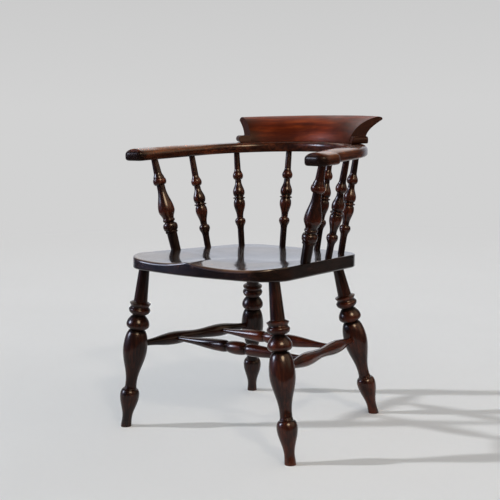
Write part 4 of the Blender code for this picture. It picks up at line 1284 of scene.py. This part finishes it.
# %% Place four screws
SCREW_ANGLES = (-30.0, -7.5, 7.5, 30.0)
SCREW_SUNK = 0.0005
SHARP_STEEL = math.radians(35)
screw_tree, given = new_tree("screws", {"Screw": "Object", "Lean": "Rotation", "Steel": "Material"})
pattern = add(screw_tree, "GeometryNodeObjectInfo", {"Object": given["Screw"]}).outputs["Geometry"]
placed = add(
    screw_tree,
    "GeometryNodeInstanceOnPoints",
    {"Points": given["Geometry"], "Instance": pattern, "Rotation": given["Lean"]},
)
real = add(screw_tree, "GeometryNodeRealizeInstances", {"Geometry": placed})
steel = add(screw_tree, "GeometryNodeSetMaterial", {"Geometry": real, "Material": given["Steel"]})
add(screw_tree, "NodeGroupOutput", {"Geometry": steel})
places = []
for angle in map(math.radians, SCREW_ANGLES):
    places.append(tuple(bow_frame @ Vector((*about(CREST_MIDDLE, angle), SCREW_SUNK))))
points = bpy.data.meshes.new("screw_points")
points.from_pydata(places, [], [])
values = {"Screw": screw, "Lean": bow_frame.to_euler(), "Steel": worn_steel}
mesh = run_tree(screw_tree, put("screw_points", points), values)
for obj in (screw, slot_cutter):
    bpy.data.objects.remove(obj)
mesh.set_sharp_from_angle(angle=SHARP_STEEL)
screw_nodes = [f"crest_screw_{hand}_{number}" for hand in SIDES for number in (1, 2)]
finish_piece("crest_screws", mesh, "screw_steel", *screw_nodes)

# %% [markdown]
# ## Camera
#
# The photograph was taken from the chair's front right, a little above the arms. The camera's place and
# angles come from matching the legs, posts and spindles. A target to track would leave out the small roll
# of a camera held by hand, so its three axes are worked out and put in a matrix.

# %% Camera
CAMERA_PLACE = Vector((1.6478, -2.2195, 0.8339))
CAMERA_YAW = math.radians(37.289)
CAMERA_PITCH = math.radians(7.792)
CAMERA_ROLL = math.radians(-0.748)
SENSOR_MM = 36.0
LENS_MM = 76.93
right = Vector((math.cos(CAMERA_YAW), math.sin(CAMERA_YAW), 0))
far = Vector((-math.sin(CAMERA_YAW), math.cos(CAMERA_YAW), 0))
back = Vector((*(-far * math.cos(CAMERA_PITCH)).xy, math.sin(CAMERA_PITCH)))
rolled = Matrix.Rotation(CAMERA_ROLL, 3, back)
basis = Matrix((rolled @ right, rolled @ back.cross(right), back)).transposed()
lens = bpy.data.cameras.new("camera")
lens.sensor_width = SENSOR_MM
lens.lens = LENS_MM
camera = put("camera", lens)
camera.matrix_world = Matrix.Translation(CAMERA_PLACE) @ basis.to_4x4()
bpy.context.scene.camera = camera
print("camera looks along", [round(c, 3) for c in -back])

# %% [markdown]
# ## Floor
#
# The chair stands on a sweep of pale seamless paper that runs back and up without a corner. A bent sheet
# could be modelled, but other views would show its edge. Here the paper is flat, and well behind the chair
# it turns into the backdrop's tone for what looks at it, while it still takes the shadows. It widens towards
# the back, because only that part is mirrored in the seat. The room's own floor goes on all round at the
# same tone, but is kept out of the polish, where it would lighten the dark undersides.

# %% Seamless paper
MOTTLE_MM = 650
PAPER_ROUGHNESS = 0.9
PAPER_GLOSS = 0.1
MERGE_RANGE = {"From Min": 1.2, "From Max": 4.5}
BACKDROP = linear("#d2d2d2")


def looked_at(tree):
    """1 for what the camera sees, directly, mirrored or through glass, and 0 for light that falls on things."""
    path = add(tree, "ShaderNodeLightPath").outputs
    glossy, through = path["Is Glossy Ray"], path["Is Transmission Ray"]
    either = add(tree, "ShaderNodeMath", {0: glossy, 1: through}, operation="MAXIMUM")
    return add(tree, "ShaderNodeMath", {0: path["Is Camera Ray"], 1: either}, operation="MAXIMUM")


# Matt coated paper off a roll: even and without gloss, with the faintest mottle of scuffs
paper, tree, shader = new_material("seamless_paper")
where = add(tree, "ShaderNodeTexCoord").outputs["Object"]
mottle = add(tree, "ShaderNodeTexNoise", {"Vector": where, "Scale": 1000 / MOTTLE_MM, "Detail": 3.0})
tint = add(tree, "ShaderNodeValToRGB", {"Fac": mottle})
tint.color_ramp.elements[0].color = linear("#e4e6e8")
tint.color_ramp.elements[1].color = linear("#eaecee")
plug(shader, {"Base Color": tint, "Roughness": PAPER_ROUGHNESS, "Specular IOR Level": PAPER_GLOSS})
away = add(tree, "ShaderNodeVectorMath", {0: where}, operation="LENGTH")
merge = add(tree, "ShaderNodeMapRange", {"Value": away, **MERGE_RANGE}, **SOFTLY)
share = add(tree, "ShaderNodeMath", {0: merge, 1: looked_at(tree)}, operation="MULTIPLY")
glow = add(tree, "ShaderNodeEmission", {"Color": BACKDROP, "Strength": 1.0})
surface = add(tree, "ShaderNodeMixShader", {0: share, 1: shader, 2: glow})
plug(tree.nodes["Material Output"], {"Surface": surface})
print("paper nodes:", len(tree.nodes))

# %% Lay the floor
FLOOR_AHEAD = 1.0
FLOOR_BEHIND = 30.0
NEAR_HALF_WIDTH = 1.0
FAR_HALF_WIDTH = 9.0
ROOM_FLOOR_DROP = 0.0005


def lay_floor(name, corners, drop):
    mesh = bpy.data.meshes.new(name)
    mesh.from_pydata([(corner.x, corner.y, -drop) for corner in corners], [], [(0, 1, 2, 3)])
    mesh.materials.append(paper)
    floor = put(name, mesh)
    return floor


near = [right * x - far * FLOOR_AHEAD for x in (-NEAR_HALF_WIDTH, NEAR_HALF_WIDTH)]
distant = [right * x + far * FLOOR_BEHIND for x in (FAR_HALF_WIDTH, -FAR_HALF_WIDTH)]
lay_floor("sweep_of_paper", near + distant, 0.0)
wide = [Vector((x, y, 0)) * FLOOR_BEHIND for x, y in ((-1, -1), (1, -1), (1, 1), (-1, 1))]
lay_floor("room_floor", wide, ROOM_FLOOR_DROP).visible_glossy = False
print("paper from", -FLOOR_AHEAD, "to", FLOOR_BEHIND, "m behind the chair")

# %% [markdown]
# ## Light
#
# The chair was lit by a room with a bright side and a dim one. Area lamps could stand for every wall, but
# glossy wood shows each of them as a hard shape. Here the world does it, and gives three answers. Light that
# falls on things comes from a soft dome, warm on the camera's right and cool on its left, and brightest near
# the walls, so that the seat hardly shades the floor under it. What is mirrored in the polish is a dim room
# with a few soft glows where windows and lamps are. What the camera sees is the plain pale backdrop. Two
# far lamps add the shadows: a low key on the left, and a weak, warm fill at the front right.

# %% Dome of soft light
SIDE_LIGHT = 2.9
UNDER_LIGHT = 0.6
CEILING_FALL = 2.0
WARM_AZIMUTH = 50
# How strongly each side lights in red, green and blue
WARM_SIDE = (1.65, 1.45, 1.25, 1.0)
COOL_SIDE = (0.35, 0.55, 0.75, 1.0)


def lamp_way(azimuth, rise):
    """Towards a lamp that stands right of the camera's own side of the chair, and raised, in degrees."""
    heading = CAMERA_YAW + math.radians(azimuth)
    level, lift = math.cos(math.radians(rise)), math.sin(math.radians(rise))
    return Vector((level * math.sin(heading), -level * math.cos(heading), lift))


world = bpy.data.worlds.new("studio")
world.use_nodes = True
bpy.context.scene.world = world
tree = world.node_tree
toward = add(tree, "ShaderNodeTexCoord").outputs["Generated"]
height = add(tree, "ShaderNodeSeparateXYZ", {0: toward}).outputs["Z"]
lowness = add(tree, "ShaderNodeMath", {0: 1.0, 1: height}, operation="SUBTRACT")
falling = add(tree, "ShaderNodeMath", {0: lowness, 1: CEILING_FALL}, operation="POWER")
above = add(tree, "ShaderNodeMath", {0: falling, 1: SIDE_LIGHT}, operation="MULTIPLY")
below = add(tree, "ShaderNodeMath", {0: height, 1: 0.0}, operation="LESS_THAN")
dome = add(tree, "ShaderNodeMix", {0: below, 2: above, 3: UNDER_LIGHT}, data_type="FLOAT")
warm_way = lamp_way(WARM_AZIMUTH, 0)
warmth = add(tree, "ShaderNodeVectorMath", {0: toward, 1: warm_way}, operation="DOT_PRODUCT")
turned = add(tree, "ShaderNodeMapRange", {"Value": warmth, "From Min": -1.0})
sides = add(tree, "ShaderNodeMix", {0: turned, 6: COOL_SIDE, 7: WARM_SIDE}, data_type="RGBA")
soft = tree.nodes["Background"]
plug(soft, {"Color": sides, "Strength": dome})
print("light from the sides", SIDE_LIGHT)

# %% What the polish mirrors
KEY = {"azimuth": -90.0, "rise": 23.0}
FILL = {"azimuth": 20.0, "rise": 42.0}
DIM_ROOM = (0.03, 0.03, 0.03, 1.0)
# Each is a way to look, the cosines at which the glow starts and is full, its colour and its strength
GLOWS = (
    (far, 0.70, 0.92, "#d3d7e2", 1.0),
    (lamp_way(180, 45), 0.75, 0.95, "#e6dccf", 1.0),
    (-right, 0.20, 0.95, "#a0c0ff", 0.12),
    (lamp_way(80, 35), 0.80, 0.98, "#ffdcb8", 1.5),
    (lamp_way(**KEY), 0.80, 0.999, "#bccdff", 1.0),
    (lamp_way(**KEY), 0.955, 0.999, "#dde7ff", 12.0),
    (lamp_way(**KEY), 0.985, 0.9995, "#e6eeff", 20.0),
    (lamp_way(**FILL), 0.80, 0.999, "#ffe6cc", 1.1),
    (lamp_way(**FILL), 0.955, 0.999, "#ffe0b8", 22.0),
)
glowing = DIM_ROOM
for way, start, full, color, strength in GLOWS:
    share = add(tree, "ShaderNodeVectorMath", {0: toward, 1: way}, operation="DOT_PRODUCT")
    glow = add(tree, "ShaderNodeMapRange", {"Value": share, "From Min": start, "From Max": full}, **SOFTLY)
    bright = [channel * strength for channel in linear(color)[:3]] + [1.0]
    glowing = add(
        tree, "ShaderNodeMix", {0: glow, 6: glowing, 7: bright}, data_type="RGBA", blend_type="ADD"
    )
print("glows in the polish:", len(GLOWS))

# %% What the camera sees
WALL_TOP = linear("#cacaca")
WALL_FADE = 0.12
fade = add(tree, "ShaderNodeMapRange", {"Value": height, "From Max": WALL_FADE})
wall = add(tree, "ShaderNodeMix", {0: fade, 6: BACKDROP, 7: WALL_TOP}, data_type="RGBA")
direct = add(tree, "ShaderNodeLightPath").outputs["Is Camera Ray"]
seen = add(tree, "ShaderNodeMix", {0: direct, 6: glowing, 7: wall}, data_type="RGBA")
backdrop = add(tree, "ShaderNodeBackground", {"Color": seen, "Strength": 1.0})
both = add(tree, "ShaderNodeMixShader", {0: looked_at(tree), 1: soft, 2: backdrop})
plug(tree.nodes["World Output"], {"Surface": both})
print("world nodes:", len(tree.nodes))

# %% Two lamps
LAMP_DISTANCE = 4


def add_lamp(name, place, strength, spread, color):
    """A far lamp. Its glow in the polish belongs to the room, so that it can be as wide as a soft box."""
    data = bpy.data.lights.new(name, "SUN")
    data.energy = strength
    data.angle = math.radians(spread)
    data.color = linear(color)[:3]
    lamp = put(name, data)
    way = lamp_way(**place)
    lamp.location = way * LAMP_DISTANCE
    lamp.rotation_euler = way.to_track_quat("Z", "Y").to_euler()
    lamp.visible_glossy = False


add_lamp("key", KEY, strength=2.2, spread=2.6, color="#ffffff")
add_lamp("fill", FILL, strength=0.35, spread=5.0, color="#fff0dc")
bpy.context.scene.view_settings.view_transform = "Standard"
print("lamps:", [lamp.name for lamp in bpy.data.lights])
